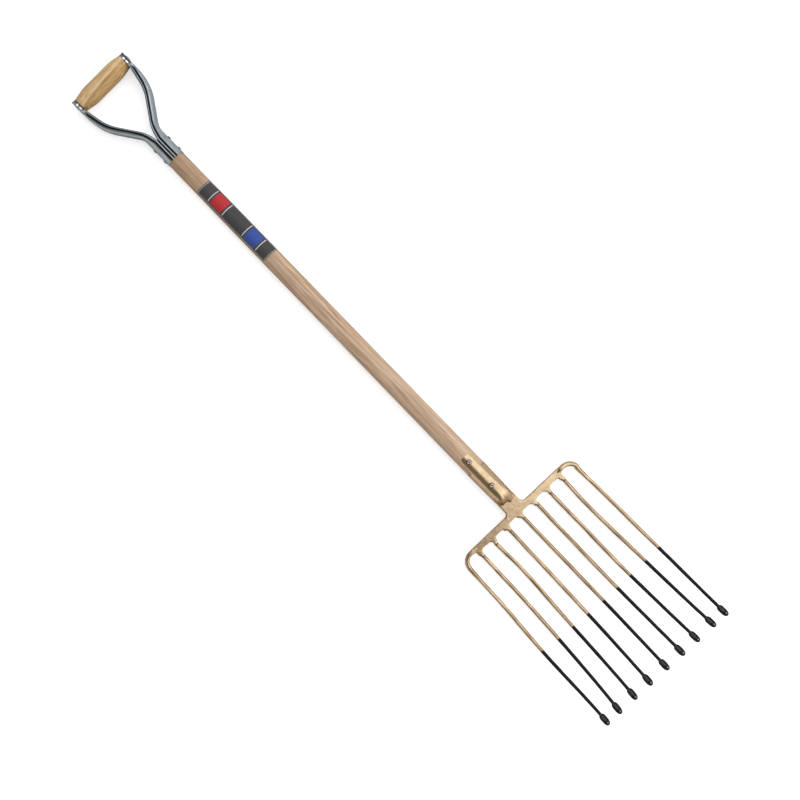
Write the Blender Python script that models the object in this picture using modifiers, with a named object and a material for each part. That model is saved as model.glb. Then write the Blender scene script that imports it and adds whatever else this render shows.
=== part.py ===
"""Potato fork: a wooden shaft, a pressed steel hand frame with a wooden grip, and a nine-tine head.

The fork is modelled about its shaft axis: +X to the right, +Y up the shaft to the hand grip and
+Z to the hollow side of the tines. An empty then lays the whole fork on the floor, on its grip
and on the belly of its tines. Places along the shaft are "down" values, measured from the top
of the hand grip.
"""

import math

import bmesh
import bpy
from mathutils import Matrix, Vector

# Fits, and how far a cutter reaches past what it cuts
CLEARANCE = 0.0003
CUT_MARGIN = 0.0100
MERGE_DISTANCE = 0.00001

# Hand grip: a turned wooden barrel, held across the frame by a steel rod
GRIP_DIAMETER = 0.0360
GRIP_STRAIGHT_LENGTH = 0.060
GRIP_END_DIAMETER = 0.0282
GRIP_ROD_DIAMETER = 0.0080
GRIP_ROD_HEAD_DIAMETER = 0.0130
GRIP_ROD_HEAD_HEIGHT = 0.0014

# Hand frame: one pressed sheet, two open channel arms that close into a seamed socket
FRAME_WIDTH = 0.1314
FRAME_SHEET = 0.0018
EYE_WIDTH = 0.0085
ARM_DEPTH = 0.0270
ARM_CORNER_WIDTH = 0.0060
ARM_CORNER_DEPTH = 0.0070
ARM_SHOULDER_DOWN = 0.0773
ARM_SHOULDER_RADIUS = 0.1020
ARM_WAIST_DOWN = 0.1460
ARM_WAIST_RADIUS = 0.0300
INNER_SHOULDER_X = 0.0465
INNER_SHOULDER_DOWN = 0.0845
INNER_SHOULDER_RADIUS = 0.0940
INNER_WAIST_X = 0.0062
INNER_WAIST_DROP = -0.0030
INNER_WAIST_RADIUS = 0.0750
CROTCH_DROP = 0.0237
FRAME_SOCKET_DIAMETER = 0.0366
FRAME_SOCKET_LENGTH = 0.0449
SOCKET_BLEND_LENGTH = 0.0430
LIP_RADIUS = 0.0040
LIP_DROP = 0.0010
SEAM_GAP = 0.0003

# Cross rivets that hold the frame's socket on the shaft, at these drops below its crotch
FRAME_RIVET_DROPS = (0.0060, 0.0330)
FRAME_RIVET_DIAMETER = 0.0040
FRAME_RIVET_HEAD_DIAMETER = 0.0080
FRAME_RIVET_HEAD_HEIGHT = 0.0013

# Shaft: turned ash, slightly thicker towards the head, from below the frame's crotch to below the
# head socket's rim
SHAFT_START_DROP = 0.0035
SHAFT_TOP_DIAMETER = 0.0355
SHAFT_BOTTOM_DIAMETER = 0.0380
SHAFT_END_DROP = 0.0780
SHAFT_END_DIAMETER = 0.0180
SHAFT_POINT_LENGTH = 0.0130
SHAFT_CHAMFER = 0.0015

# Label: a plain sticker on the front of the shaft, with rounded corners, at a drop below the frame
LABEL_DROP = 0.0727
LABEL_LENGTH = 0.1767
LABEL_THICKNESS = 0.0003
LABEL_CORNER_RADIUS = 0.0035
LABEL_FIRST_EDGE_DEGREES = -52.0
LABEL_WRAP_DEGREES = 123.0

# Head socket, forged with a tongue in front and one behind. Its rim is at a rise above the tines'
# roots, with one rivet above it through the tongues and one below it
TONGUE_LENGTH = 0.0344
TONGUE_WIDTH = 0.0248
TONGUE_CORNER_RADIUS = 0.0080
RIM_RISE = 0.1300
RIM_FILLET = 0.0030
HEAD_SOCKET_DIAMETER = 0.0388
HEAD_SOCKET_NOSE_DIAMETER = 0.0368
HEAD_SOCKET_WALL = 0.0026
NOSE_LENGTH = 0.0180
HEEL_LENGTH = 0.0400
TONGUE_RIVET_RISE = 0.0201
SOCKET_RIVET_DROP = 0.0390
SOCKET_RIVET_DIAMETER = 0.0050
SOCKET_RIVET_HEAD_DIAMETER = 0.0085
SOCKET_RIVET_HEAD_HEIGHT = 0.0030
SOCKET_RIVET_TAIL_HEIGHT = 0.0012

# Neck and toothed crossbar, one plate with the socket
PLATE_THICKNESS = 0.0050
NECK_WIDTH = 0.0360
NECK_LENGTH = 0.0207
NECK_ROOT = 0.0060
NECK_FILLET = 0.0060
BAR_WIDTH = 0.2256
BAR_HEIGHT = 0.0133
BAR_END_HEIGHT = 0.0094
TOOTH_WIDTH = 0.0080
TOOTH_LENGTH = 0.0106
TOOTH_FILLET = 0.0080

# Tines: round rods butt-welded to the teeth, the outer pair to the bar's ends
TINE_COUNT = 9
TINE_ROOT_DOWN = 1.1380
TINE_PITCH = 0.0344
TINE_TIP_PITCH = 0.0385
TINE_FLARE_POWER = 2.0
OUTER_TIP_INSET = 0.0076
OUTER_FLARE_POWER = 0.8
TINE_LENGTH = 0.3730
TINE_ROOT_DIAMETER = 0.0077
TINE_TIP_DIAMETER = 0.0060
TINE_TAPER_START = 0.1400
TINE_ARC_RADIUS = 0.6400
TINE_ROOT_SLOPE_DEGREES = 8.3
BELLY_DEPTH = 0.0225
OUTER_TINE_BEND_RADIUS = 0.0200
OUTER_TINE_BEND_DIAMETER = 0.0092
OUTER_TINE_BLEND_LENGTH = 0.0400
KNOB_LENGTH = 0.0225
KNOB_DIAMETER = 0.0117
KNOB_SHAPE_POWER = 2.6
KNOB_END_RADIUS = 0.0010

# Fineness of the round forms
SHAFT_STEPS = 32
GRIP_STEPS = 24
RIVET_STEPS = 16
TINE_BEVEL_RESOLUTION = 2
TINE_STATIONS = 16
KNOB_STATIONS = 9
BEND_STEPS = 6
FILLET_STEPS = 4
EYE_STEPS = 8
LABEL_STEPS = 10
ARM_STATION_STEP = 0.0095

# Worked out from the sizes above
GRIP_DOWN = GRIP_DIAMETER / 2
INNER_WAIST_DOWN = ARM_WAIST_DOWN + INNER_WAIST_DROP
CROTCH_DOWN = ARM_WAIST_DOWN + CROTCH_DROP
SOCKET_BLEND_START_DOWN = CROTCH_DOWN - SOCKET_BLEND_LENGTH
FRAME_END_DOWN = CROTCH_DOWN + FRAME_SOCKET_LENGTH
SHAFT_START_DOWN = CROTCH_DOWN + SHAFT_START_DROP
LABEL_START_DOWN = FRAME_END_DOWN + LABEL_DROP
RIM_DOWN = TINE_ROOT_DOWN - RIM_RISE
TONGUE_TOP_DOWN = RIM_DOWN - TONGUE_LENGTH
SHAFT_END_DOWN = RIM_DOWN + SHAFT_END_DROP
SOCKET_RIVET_DOWNS = (RIM_DOWN - TONGUE_RIVET_RISE, RIM_DOWN + SOCKET_RIVET_DROP)
EYE_INNER_X = FRAME_WIDTH / 2 - EYE_WIDTH
ROOT_SLOPE = math.radians(TINE_ROOT_SLOPE_DEGREES)
BELLY_Z = TINE_ROOT_DIAMETER / 2 - BELLY_DEPTH
ROOT_Z = BELLY_Z + TINE_ARC_RADIUS * (1 - math.cos(ROOT_SLOPE))
TIP_ANGLE = TINE_LENGTH / TINE_ARC_RADIUS - ROOT_SLOPE
TIP_DOWN = TINE_ROOT_DOWN + TINE_ARC_RADIUS * (math.sin(ROOT_SLOPE) + math.sin(TIP_ANGLE))
MIDDLE_DOWN = TIP_DOWN / 2
BELLY_DOWN = TINE_ROOT_DOWN + TINE_ARC_RADIUS * math.sin(ROOT_SLOPE)
NOSE_DOWN = TINE_ROOT_DOWN - (TOOTH_LENGTH + BAR_HEIGHT + NECK_LENGTH) * math.cos(ROOT_SLOPE)
SEAT_DIAMETER = HEAD_SOCKET_DIAMETER - 2 * HEAD_SOCKET_WALL - 2 * CLEARANCE
SEAT_NOSE_DIAMETER = HEAD_SOCKET_NOSE_DIAMETER - 2 * HEAD_SOCKET_WALL - 2 * CLEARANCE
TENON_DIAMETER = FRAME_SOCKET_DIAMETER - 2 * FRAME_SHEET - 2 * CLEARANCE
GRIP_SPIGOT_DIAMETER = ARM_DEPTH - 2 * (LIP_RADIUS + LIP_DROP) - 3 * CLEARANCE


def at_down(down):
    """The fork's own Y for a distance from the top of the grip."""
    return MIDDLE_DOWN - down


def smooth_step(value, start, end):
    share = min(max((value - start) / (end - start), 0.0), 1.0)
    return share * share * (3 - 2 * share)


def clear_scene():
    for item in list(bpy.data.objects):
        bpy.data.objects.remove(item, do_unlink=True)


def new_collection(name):
    collection = bpy.data.collections.new(name)
    bpy.context.scene.collection.children.link(collection)
    return collection


def lying_empty():
    """The empty that lays the fork down, so that its grip and the belly of its tines touch z = 0."""
    run = BELLY_DOWN - GRIP_DOWN
    rise = BELLY_Z + TINE_ARC_RADIUS
    reach = TINE_ARC_RADIUS + TINE_ROOT_DIAMETER / 2 - GRIP_DIAMETER / 2
    tilt = math.asin(reach / math.hypot(run, rise)) - math.atan2(rise, run)
    grip_end = at_down(GRIP_DOWN) * math.cos(tilt) + GRIP_DIAMETER / 2
    knob_ends = []
    for run in knob_runs():
        x, y, z = on_tine_sheet(0, run)
        leaning = run / TINE_ARC_RADIUS - ROOT_SLOPE + tilt
        knob_ends.append(y * math.cos(tilt) + z * math.sin(tilt) - knob_radius(run) * math.sin(leaning))
    tine_end = min(knob_ends)
    empty = bpy.data.objects.new("fork", None)
    empty.rotation_euler = (-tilt, 0, 0)
    empty.location = (
        0,
        -(grip_end + tine_end) / 2,
        math.sin(tilt) * at_down(GRIP_DOWN) + GRIP_DIAMETER / 2,
    )
    PARTS.objects.link(empty)
    return empty


def material(name, color, roughness, metallic=0.0):
    made = bpy.data.materials.new(name)
    made.use_nodes = True
    shader = made.node_tree.nodes["Principled BSDF"]
    shader.inputs["Base Color"].default_value = (*color, 1)
    shader.inputs["Roughness"].default_value = roughness
    shader.inputs["Metallic"].default_value = metallic
    made.diffuse_color = (*color, 1)
    return made


def add_object(name, data, finish=None, down=0.0, turn=(0, 0, 0), cutter=False):
    """A new object of the fork, placed on the shaft axis at a distance from the grip's top."""
    made = bpy.data.objects.new(name, data)
    made.parent = FORK
    made.location = (0, at_down(down), 0)
    made.rotation_euler = turn
    (CUTTERS if cutter else PARTS).objects.link(made)
    if cutter:
        made.hide_render = True
        made.display_type = "WIRE"
    else:
        data.materials.append(finish)
    return made


def lathe(name, profile, steps, **placing):
    """A turned piece about its own Z axis, from (radius, height) pairs that run from top to bottom."""
    mesh = bpy.data.meshes.new(name)
    points = [(radius, 0, height) for radius, height in profile]
    edges = [(i, i + 1) for i in range(len(points) - 1)]
    mesh.from_pydata(points, edges, [])
    made = add_object(name, mesh, **placing)
    screw = made.modifiers.new("Turn", "SCREW")
    screw.steps = steps
    screw.render_steps = steps
    screw.use_merge_vertices = True
    screw.merge_threshold = MERGE_DISTANCE
    screw.use_smooth_shade = True
    return made


def cylinder(name, diameter, length, steps=RIVET_STEPS, **placing):
    """A cylinder about Z, turned a quarter facet so that none of its edges lies in an axis plane."""
    mesh = bpy.data.meshes.new(name)
    shape = bmesh.new()
    bmesh.ops.create_cone(
        shape,
        cap_ends=True,
        segments=steps,
        radius1=diameter / 2,
        radius2=diameter / 2,
        depth=length,
        matrix=Matrix.Rotation(math.pi / steps / 2, 4, "Z"),
    )
    shape.to_mesh(mesh)
    shape.free()
    return add_object(name, mesh, **placing)


def block(name, size, center, **placing):
    mesh = bpy.data.meshes.new(name)
    shape = bmesh.new()
    bmesh.ops.create_cube(shape, size=1)
    bmesh.ops.scale(shape, vec=size, verts=shape.verts)
    bmesh.ops.translate(shape, vec=center, verts=shape.verts)
    shape.to_mesh(mesh)
    shape.free()
    return add_object(name, mesh, **placing)


def outline_prism(name, points, thickness, **placing):
    """A flat outline, filled and given a thickness, as a mesh."""
    curve = bpy.data.curves.new(name, "CURVE")
    curve.dimensions = "2D"
    curve.fill_mode = "BOTH"
    curve.extrude = thickness / 2
    spline = curve.splines.new("POLY")
    spline.points.add(len(points) - 1)
    for point, (x, y) in zip(spline.points, points):
        point.co = (x, y, 0, 1)
    spline.use_cyclic_u = True
    drawn = bpy.data.objects.new(name + "_curve", curve)
    CUTTERS.objects.link(drawn)
    bpy.context.view_layer.update()
    evaluated = drawn.evaluated_get(bpy.context.evaluated_depsgraph_get())
    mesh = bpy.data.meshes.new_from_object(evaluated)
    bpy.data.objects.remove(drawn, do_unlink=True)
    shape = bmesh.new()
    shape.from_mesh(mesh)
    bmesh.ops.remove_doubles(shape, verts=shape.verts, dist=MERGE_DISTANCE / 10)
    bmesh.ops.recalc_face_normals(shape, faces=shape.faces)
    shape.to_mesh(mesh)
    shape.free()
    return add_object(name, mesh, **placing)


def combine(target, other, operation="DIFFERENCE"):
    step = target.modifiers.new(operation.title() + " " + other.name, "BOOLEAN")
    step.operation = operation
    step.solver = "EXACT"
    step.object = other


def arc(center, radius, start_degrees, end_degrees, steps=FILLET_STEPS):
    """Points of an arc, ends included, in the plane of an outline."""
    points = []
    for i in range(steps + 1):
        angle = math.radians(start_degrees + (end_degrees - start_degrees) * i / steps)
        points.append((center[0] + radius * math.cos(angle), center[1] + radius * math.sin(angle)))
    return points


def rounded_path(corners, steps=12):
    """Points along straight runs with rounded corners, from (x, down, radius) corners."""
    path = [Vector(corners[0][:2])]
    for before, corner, after in zip(corners, corners[1:], corners[2:]):
        point = Vector(corner[:2])
        arriving = (point - Vector(before[:2])).normalized()
        leaving = (Vector(after[:2]) - point).normalized()
        turn = arriving.angle_signed(leaving)
        tangent = corner[2] * math.tan(abs(turn) / 2)
        start = point - arriving * tangent
        side = Vector((-arriving.y, arriving.x)) * (-1 if turn > 0 else 1)
        center = start + side * corner[2]
        for i in range(steps + 1):
            path.append(center + Matrix.Rotation(-turn * i / steps, 2) @ (start - center))
    path.append(Vector(corners[-1][:2]))
    return path


def x_at(path, down):
    """The X of a path where it crosses a down value."""
    for first, second in zip(path, path[1:]):
        if first.y <= down <= second.y and second.y > first.y:
            return first.x + (second.x - first.x) * (down - first.y) / (second.y - first.y)
    return path[-1].x if down > path[-1].y else path[0].x


def rivet_profile(shank, head, head_height, grip, tail, tail_height):
    """A rivet about Z: domed head on top, a shank through what it holds, and a peened tail."""
    dome = [(head / 2 * math.sin(a), grip / 2 + head_height * math.cos(a)) for a in quarter(4)]
    peen = [(tail / 2 * math.cos(a), -grip / 2 - tail_height * math.sin(a)) for a in quarter(4)]
    return dome + [(shank / 2, grip / 2), (shank / 2, -grip / 2)] + peen


def quarter(steps):
    return [math.pi / 2 * i / steps for i in range(steps + 1)]


def frame_section(start, width, depth, corner_width, corner_depth, lip_radius, lip_drop):
    """Half a channel section, from a start on its web to its rolled lip, as (inward, out) pairs."""
    web = depth - corner_depth
    points = [(0, start)]
    points += [(corner_width * (1 - math.cos(a)), web + corner_depth * math.sin(a)) for a in quarter(5)]
    lip = (width - lip_radius, depth - lip_radius)
    points += [(lip[0] + lip_radius * math.sin(a), lip[1] + lip_radius * math.cos(a)) for a in quarter(3)]
    points.append((width, depth - lip_radius - lip_drop))
    return points


def frame_rows():
    """Rows of points over one half of the frame: up its front edge, round the eye, down its back.

    Each row starts on the middle line of the web, or on the edge of the rod's hole in the eye.
    """
    hole = GRIP_ROD_DIAMETER / 2 + CLEARANCE
    half = FRAME_WIDTH / 2
    socket_half = FRAME_SOCKET_DIAMETER / 2
    outer = rounded_path(
        (
            (half, 0, 0),
            (half, ARM_SHOULDER_DOWN, ARM_SHOULDER_RADIUS),
            (socket_half, ARM_WAIST_DOWN, ARM_WAIST_RADIUS),
            (socket_half, FRAME_END_DOWN, 0),
        )
    )
    inner = rounded_path(
        (
            (EYE_INNER_X, GRIP_DOWN + GRIP_END_DIAMETER / 2, 0),
            (INNER_SHOULDER_X, INNER_SHOULDER_DOWN, INNER_SHOULDER_RADIUS),
            (INNER_WAIST_X, INNER_WAIST_DOWN, INNER_WAIST_RADIUS),
            (0, CROTCH_DOWN, 0),
        )
    )

    def section(down, back):
        closed = down > CROTCH_DOWN - CLEARANCE
        blend = smooth_step(down, SOCKET_BLEND_START_DOWN, CROTCH_DOWN)
        curl = 1 - blend if back else 1
        edge = 0 if back and closed else max(x_at(inner, down), SEAM_GAP / 2)
        width = x_at(outer, down) - edge
        depth = ARM_DEPTH / 2 + (socket_half - ARM_DEPTH / 2) * blend
        lip = LIP_RADIUS * curl
        drop = LIP_DROP * curl
        corner_width = ARM_CORNER_WIDTH + (width - lip - ARM_CORNER_WIDTH) * blend
        corner_width = min(corner_width, width - lip)
        corner_depth = ARM_CORNER_DEPTH + (depth - ARM_CORNER_DEPTH) * blend
        start = math.sqrt(max(hole**2 - (down - GRIP_DOWN) ** 2, 0))
        return frame_section(start, width, depth, corner_width, corner_depth, lip, drop)

    arm_start = GRIP_DOWN + 2 * hole
    arm_steps = round((CROTCH_DOWN - arm_start) / ARM_STATION_STEP)
    socket_steps = 3
    downs = [GRIP_DOWN + hole * math.sin(a) for a in quarter(EYE_STEPS // 2)]
    downs += [arm_start + (CROTCH_DOWN - arm_start) * i / arm_steps for i in range(arm_steps + 1)]
    downs += [CROTCH_DOWN + (FRAME_END_DOWN - CROTCH_DOWN) * i / socket_steps for i in (1, 2, 3)]
    rows = []
    for down in reversed(downs):
        rows.append([(x_at(outer, down) - i, at_down(down), o) for i, o in section(down, False)])
    for step in range(1, EYE_STEPS):
        turn = math.pi * step / EYE_STEPS
        eye = section(GRIP_DOWN, False)
        top = at_down(GRIP_DOWN)
        rows.append([(half - i, top + o * math.sin(turn), o * math.cos(turn)) for i, o in eye])
    for down in downs:
        rows.append([(x_at(outer, down) - i, at_down(down), -o) for i, o in section(down, True)])
    return rows


def make_grip_frame(finish):
    """The pressed sheet: half of it as a grid, mirrored, thickened inwards and pierced for its rivets."""
    rows = frame_rows()
    mesh = bpy.data.meshes.new("grip_frame")
    shape = bmesh.new()
    grid = [[shape.verts.new(point) for point in row] for row in rows]
    for row, following in zip(grid, grid[1:]):
        for i in range(len(row) - 1):
            shape.faces.new((row[i], following[i], following[i + 1], row[i + 1]))
    bmesh.ops.remove_doubles(shape, verts=shape.verts, dist=MERGE_DISTANCE)
    bmesh.ops.dissolve_degenerate(shape, edges=shape.edges, dist=MERGE_DISTANCE)
    shape.to_mesh(mesh)
    shape.free()
    frame = add_object("grip_frame", mesh, finish=finish, down=MIDDLE_DOWN)
    mirror = frame.modifiers.new("Other arm", "MIRROR")
    mirror.use_axis = (True, False, False)
    mirror.merge_threshold = 5 * MERGE_DISTANCE
    sheet = frame.modifiers.new("Sheet", "SOLIDIFY")
    sheet.thickness = FRAME_SHEET
    sheet.offset = -1
    return frame


def make_hand_grip(finish):
    """The barrel, with a spigot in each eye and a bore for the rod. One facet faces the floor."""
    radius = GRIP_DIAMETER / 2
    end_radius = GRIP_END_DIAMETER / 2
    end = EYE_INNER_X - CLEARANCE
    spigot_end = FRAME_WIDTH / 2 - FRAME_SHEET - CLEARANCE
    straight = GRIP_STRAIGHT_LENGTH / 2
    half = [(0, spigot_end), (GRIP_SPIGOT_DIAMETER / 2, spigot_end), (GRIP_SPIGOT_DIAMETER / 2, end)]
    for i in range(5):
        share = 1 - i / 4
        half.append((radius - (radius - end_radius) * share**2, straight + (end - straight) * share))
    facet = 1 / math.cos(math.pi / GRIP_STEPS)
    profile = [(r * facet, z) for r, z in half] + [(r * facet, -z) for r, z in reversed(half)]
    level = Matrix.Rotation(-FORK.rotation_euler.x, 3, "X") @ Matrix.Rotation(math.pi / 2, 3, "Y")
    turn = (level @ Matrix.Rotation(math.pi / GRIP_STEPS, 3, "Z")).to_euler()
    grip = lathe("hand_grip", profile, GRIP_STEPS, finish=finish, down=GRIP_DOWN, turn=turn)
    bore = cylinder(
        "grip_bore",
        GRIP_ROD_DIAMETER + 2 * CLEARANCE,
        FRAME_WIDTH,
        down=GRIP_DOWN,
        turn=(0, math.pi / 2, 0),
        cutter=True,
    )
    combine(grip, bore)
    return grip


def make_grip_rod(finish):
    held = FRAME_WIDTH + 2 * CLEARANCE
    head = GRIP_ROD_HEAD_DIAMETER
    height = GRIP_ROD_HEAD_HEIGHT
    profile = rivet_profile(GRIP_ROD_DIAMETER, head, height, held, head, height)
    return lathe(
        "grip_rod", profile, RIVET_STEPS, finish=finish, down=GRIP_DOWN, turn=(0, math.pi / 2, 0)
    )


def make_frame_rivets(frame, shaft, finish):
    """Two rivets from side to side through the frame's socket and the top of the shaft."""
    held = FRAME_SOCKET_DIAMETER + 2 * CLEARANCE
    head = FRAME_RIVET_HEAD_DIAMETER
    height = FRAME_RIVET_HEAD_HEIGHT
    profile = rivet_profile(FRAME_RIVET_DIAMETER, head, height, held, head, height)
    for name, drop in zip(("upper", "lower"), FRAME_RIVET_DROPS):
        placing = {"down": CROTCH_DOWN + drop, "turn": (0, math.pi / 2, 0)}
        lathe("frame_rivet_" + name, profile, RIVET_STEPS, finish=finish, **placing)
        hole = cylinder(
            "frame_rivet_hole_" + name, FRAME_RIVET_DIAMETER + 2 * CLEARANCE, held, cutter=True, **placing
        )
        combine(frame, hole)
        combine(shaft, hole)


def shaft_profile(extra=0.0):
    """The shaft's outline from its tenon down to its point, or that outline grown by a clearance."""
    top = TENON_DIAMETER / 2
    seat = SEAT_DIAMETER / 2
    shoulder = RIM_DOWN - CLEARANCE
    point_start = SHAFT_END_DOWN - SHAFT_POINT_LENGTH
    return [
        (top - SHAFT_CHAMFER, SHAFT_START_DOWN),
        (top, SHAFT_START_DOWN + SHAFT_CHAMFER),
        (top, FRAME_END_DOWN + CLEARANCE),
        (SHAFT_TOP_DIAMETER / 2, FRAME_END_DOWN + CLEARANCE),
        (SHAFT_BOTTOM_DIAMETER / 2, shoulder),
        (seat + extra, shoulder),
        (SEAT_NOSE_DIAMETER / 2 + extra, point_start),
        (SHAFT_END_DIAMETER / 2 + extra, SHAFT_END_DOWN + extra),
    ]


def make_shaft(finish):
    profile = [(radius, -down) for radius, down in shaft_profile()]
    profile = [(0, profile[0][1])] + profile + [(0, profile[-1][1])]
    shaft = lathe("shaft", profile, SHAFT_STEPS, finish=finish, turn=(-math.pi / 2, 0, 0))
    groove_depth = LIP_RADIUS + LIP_DROP + CLEARANCE
    groove = block(
        "seam_groove",
        (2 * LIP_RADIUS + SEAM_GAP + 4 * CLEARANCE, FRAME_SOCKET_LENGTH + CUT_MARGIN, groove_depth * 2),
        (0, at_down((FRAME_END_DOWN + CROTCH_DOWN - CUT_MARGIN) / 2 + CLEARANCE), FRAME_SOCKET_DIAMETER / 2),
        down=MIDDLE_DOWN,
        cutter=True,
    )
    combine(shaft, groove)
    foot_x = TONGUE_WIDTH / 2 + RIM_FILLET
    foot_y = at_down(RIM_DOWN + RIM_FILLET)
    recess = outline_prism(
        "tongue_recess",
        [(foot_x, foot_y)] + tongue_outline(CLEARANCE) + [(-foot_x, foot_y)],
        HEAD_SOCKET_DIAMETER + CUT_MARGIN,
        down=MIDDLE_DOWN,
        cutter=True,
    )
    core = cylinder(
        "tongue_recess_core",
        SEAT_DIAMETER + CLEARANCE / 3,
        RIM_DOWN - TONGUE_TOP_DOWN + 2 * CUT_MARGIN,
        SHAFT_STEPS,
        down=(TONGUE_TOP_DOWN + RIM_DOWN) / 2,
        turn=(-math.pi / 2, 0, 0),
        cutter=True,
    )
    combine(recess, core)
    combine(shaft, recess)
    return shaft


def tongue_outline(extra=0.0):
    """A tongue and the fillets at its foot, seen from the front and grown by a clearance."""
    half = TONGUE_WIDTH / 2
    corner_x = half - TONGUE_CORNER_RADIUS
    corner_y = at_down(TONGUE_TOP_DOWN + TONGUE_CORNER_RADIUS)
    fillet_x = half + RIM_FILLET
    fillet_y = at_down(RIM_DOWN - RIM_FILLET)
    points = arc((fillet_x, fillet_y), RIM_FILLET - extra, 270, 180)
    points += arc((corner_x, corner_y), TONGUE_CORNER_RADIUS + extra, 0, 90)
    points += arc((-corner_x, corner_y), TONGUE_CORNER_RADIUS + extra, 90, 180)
    points += arc((-fillet_x, fillet_y), RIM_FILLET - extra, 0, -90)
    return points


def make_label(finish):
    """The sticker as a sheet bent round the shaft, thickened outwards. Its ends have round corners."""
    end_down = LABEL_START_DOWN + LABEL_LENGTH
    bend = shaft_radius((LABEL_START_DOWN + end_down) / 2)
    first = bend * math.radians(LABEL_FIRST_EDGE_DEGREES)
    width = bend * math.radians(LABEL_WRAP_DEGREES)
    corner = LABEL_CORNER_RADIUS
    acrosses = [corner - corner * math.cos(a) for a in quarter(FILLET_STEPS)]
    acrosses += [corner + (width - 2 * corner) * i / LABEL_STEPS for i in range(1, LABEL_STEPS)]
    acrosses += [width - corner + corner * math.sin(a) for a in quarter(FILLET_STEPS)]
    mesh = bpy.data.meshes.new("label_band")
    shape = bmesh.new()
    columns = []
    for across in acrosses:
        short = max(corner - across, corner - (width - across), 0.0)
        inset = corner - math.sqrt(max(corner**2 - short**2, 0.0))
        angle = (first + across) / bend
        column = []
        for down in (LABEL_START_DOWN + inset, end_down - inset):
            radius = shaft_radius(down) + CLEARANCE
            point = (radius * math.sin(angle), at_down(down), radius * math.cos(angle))
            column.append(shape.verts.new(point))
        columns.append(column)
    for column, following in zip(columns, columns[1:]):
        shape.faces.new((column[0], column[1], following[1], following[0]))
    shape.to_mesh(mesh)
    shape.free()
    label = add_object("label_band", mesh, finish=finish, down=MIDDLE_DOWN)
    sheet = label.modifiers.new("Film", "SOLIDIFY")
    sheet.thickness = LABEL_THICKNESS
    sheet.offset = 1
    return label


def shaft_radius(down):
    """The radius of the bare shaft between the frame and the head."""
    start = FRAME_END_DOWN + CLEARANCE
    share = (down - start) / (RIM_DOWN - CLEARANCE - start)
    return (SHAFT_TOP_DIAMETER + (SHAFT_BOTTOM_DIAMETER - SHAFT_TOP_DIAMETER) * share) / 2


def plate_z(down):
    """Height of the head plate's middle, which falls away from the shaft axis at the root slope."""
    return ROOT_Z + (TINE_ROOT_DOWN - down) * math.tan(ROOT_SLOPE)


def socket_ring(down):
    """One section of the forged socket: its half width, middle height, front and back."""
    nose_start = NOSE_DOWN - NOSE_LENGTH
    share = min(max((down - RIM_DOWN) / (nose_start - RIM_DOWN), 0.0), 1.0)
    radius = (HEAD_SOCKET_DIAMETER + (HEAD_SOCKET_NOSE_DIAMETER - HEAD_SOCKET_DIAMETER) * share) / 2
    buried = PLATE_THICKNESS / 2 - CLEARANCE
    nose = min(max((down - nose_start) / NOSE_LENGTH, 0.0), 1.0)
    heel = smooth_step(down, nose_start - NOSE_LENGTH / 2, nose_start - NOSE_LENGTH / 2 + HEEL_LENGTH)
    low_front = plate_z(down) + buried
    low_back = plate_z(down) - buried
    front = low_front + (radius - low_front) * math.sqrt(1 - nose * nose)
    back = -radius + (low_back + radius) * heel
    middle = plate_z(down) * nose
    half_width = radius + (NECK_WIDTH / 2 - CLEARANCE - radius) * heel
    return half_width, middle, front, back


def make_crosshead(finish):
    """Socket, neck and toothed bar in one forged piece."""
    heel_end = NOSE_DOWN - NOSE_LENGTH * 1.5 + HEEL_LENGTH
    downs = [TONGUE_TOP_DOWN - CUT_MARGIN / 2, RIM_DOWN, NOSE_DOWN - NOSE_LENGTH * 1.5]
    downs += [NOSE_DOWN - NOSE_LENGTH * math.cos(a) for a in quarter(6)]
    downs += [(NOSE_DOWN + heel_end) / 2, heel_end]
    mesh = bpy.data.meshes.new("crosshead")
    shape = bmesh.new()
    rings = []
    for down in downs:
        half_width, middle, front, back = socket_ring(down)
        ring = []
        for i in range(SHAFT_STEPS):
            angle = 2 * math.pi * i / SHAFT_STEPS
            height = front - middle if math.sin(angle) > 0 else middle - back
            point = (half_width * math.cos(angle), at_down(down), middle + height * math.sin(angle))
            ring.append(shape.verts.new(point))
        rings.append(ring)
    for ring, following in zip(rings, rings[1:]):
        for i in range(SHAFT_STEPS):
            j = (i + 1) % SHAFT_STEPS
            shape.faces.new((ring[i], ring[j], following[j], following[i]))
    shape.faces.new(rings[0])
    shape.faces.new(rings[-1])
    bmesh.ops.recalc_face_normals(shape, faces=shape.faces)
    shape.to_mesh(mesh)
    shape.free()
    head = add_object("crosshead", mesh, finish=finish, down=MIDDLE_DOWN)
    plate = outline_prism(
        "crosshead_plate",
        plate_outline(),
        PLATE_THICKNESS,
        down=TINE_ROOT_DOWN,
        turn=(ROOT_SLOPE, 0, 0),
        cutter=True,
    )
    plate.location.z = ROOT_Z
    combine(head, plate, "UNION")
    cavity_profile = [(radius, -down) for radius, down in shaft_profile(CLEARANCE)[5:]]
    top = (cavity_profile[0][0], -TONGUE_TOP_DOWN + CUT_MARGIN)
    cavity_profile = [(0, top[1]), top] + cavity_profile + [(0, cavity_profile[-1][1])]
    turn = (-math.pi / 2, 0, 0)
    combine(head, lathe("socket_cavity", cavity_profile, SHAFT_STEPS, turn=turn, cutter=True))
    rim = outline_prism(
        "rim_cutter", rim_outline(), HEAD_SOCKET_DIAMETER + CUT_MARGIN, down=MIDDLE_DOWN, cutter=True
    )
    combine(head, rim)
    return head


def rim_outline():
    """What is cut from the socket's mouth, so that a tongue is left in front and one behind."""
    rim = at_down(RIM_DOWN)
    above = at_down(TONGUE_TOP_DOWN - CUT_MARGIN)
    side = HEAD_SOCKET_DIAMETER
    return [(side, above), (side, rim)] + tongue_outline() + [(-side, rim), (-side, above)]


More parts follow.
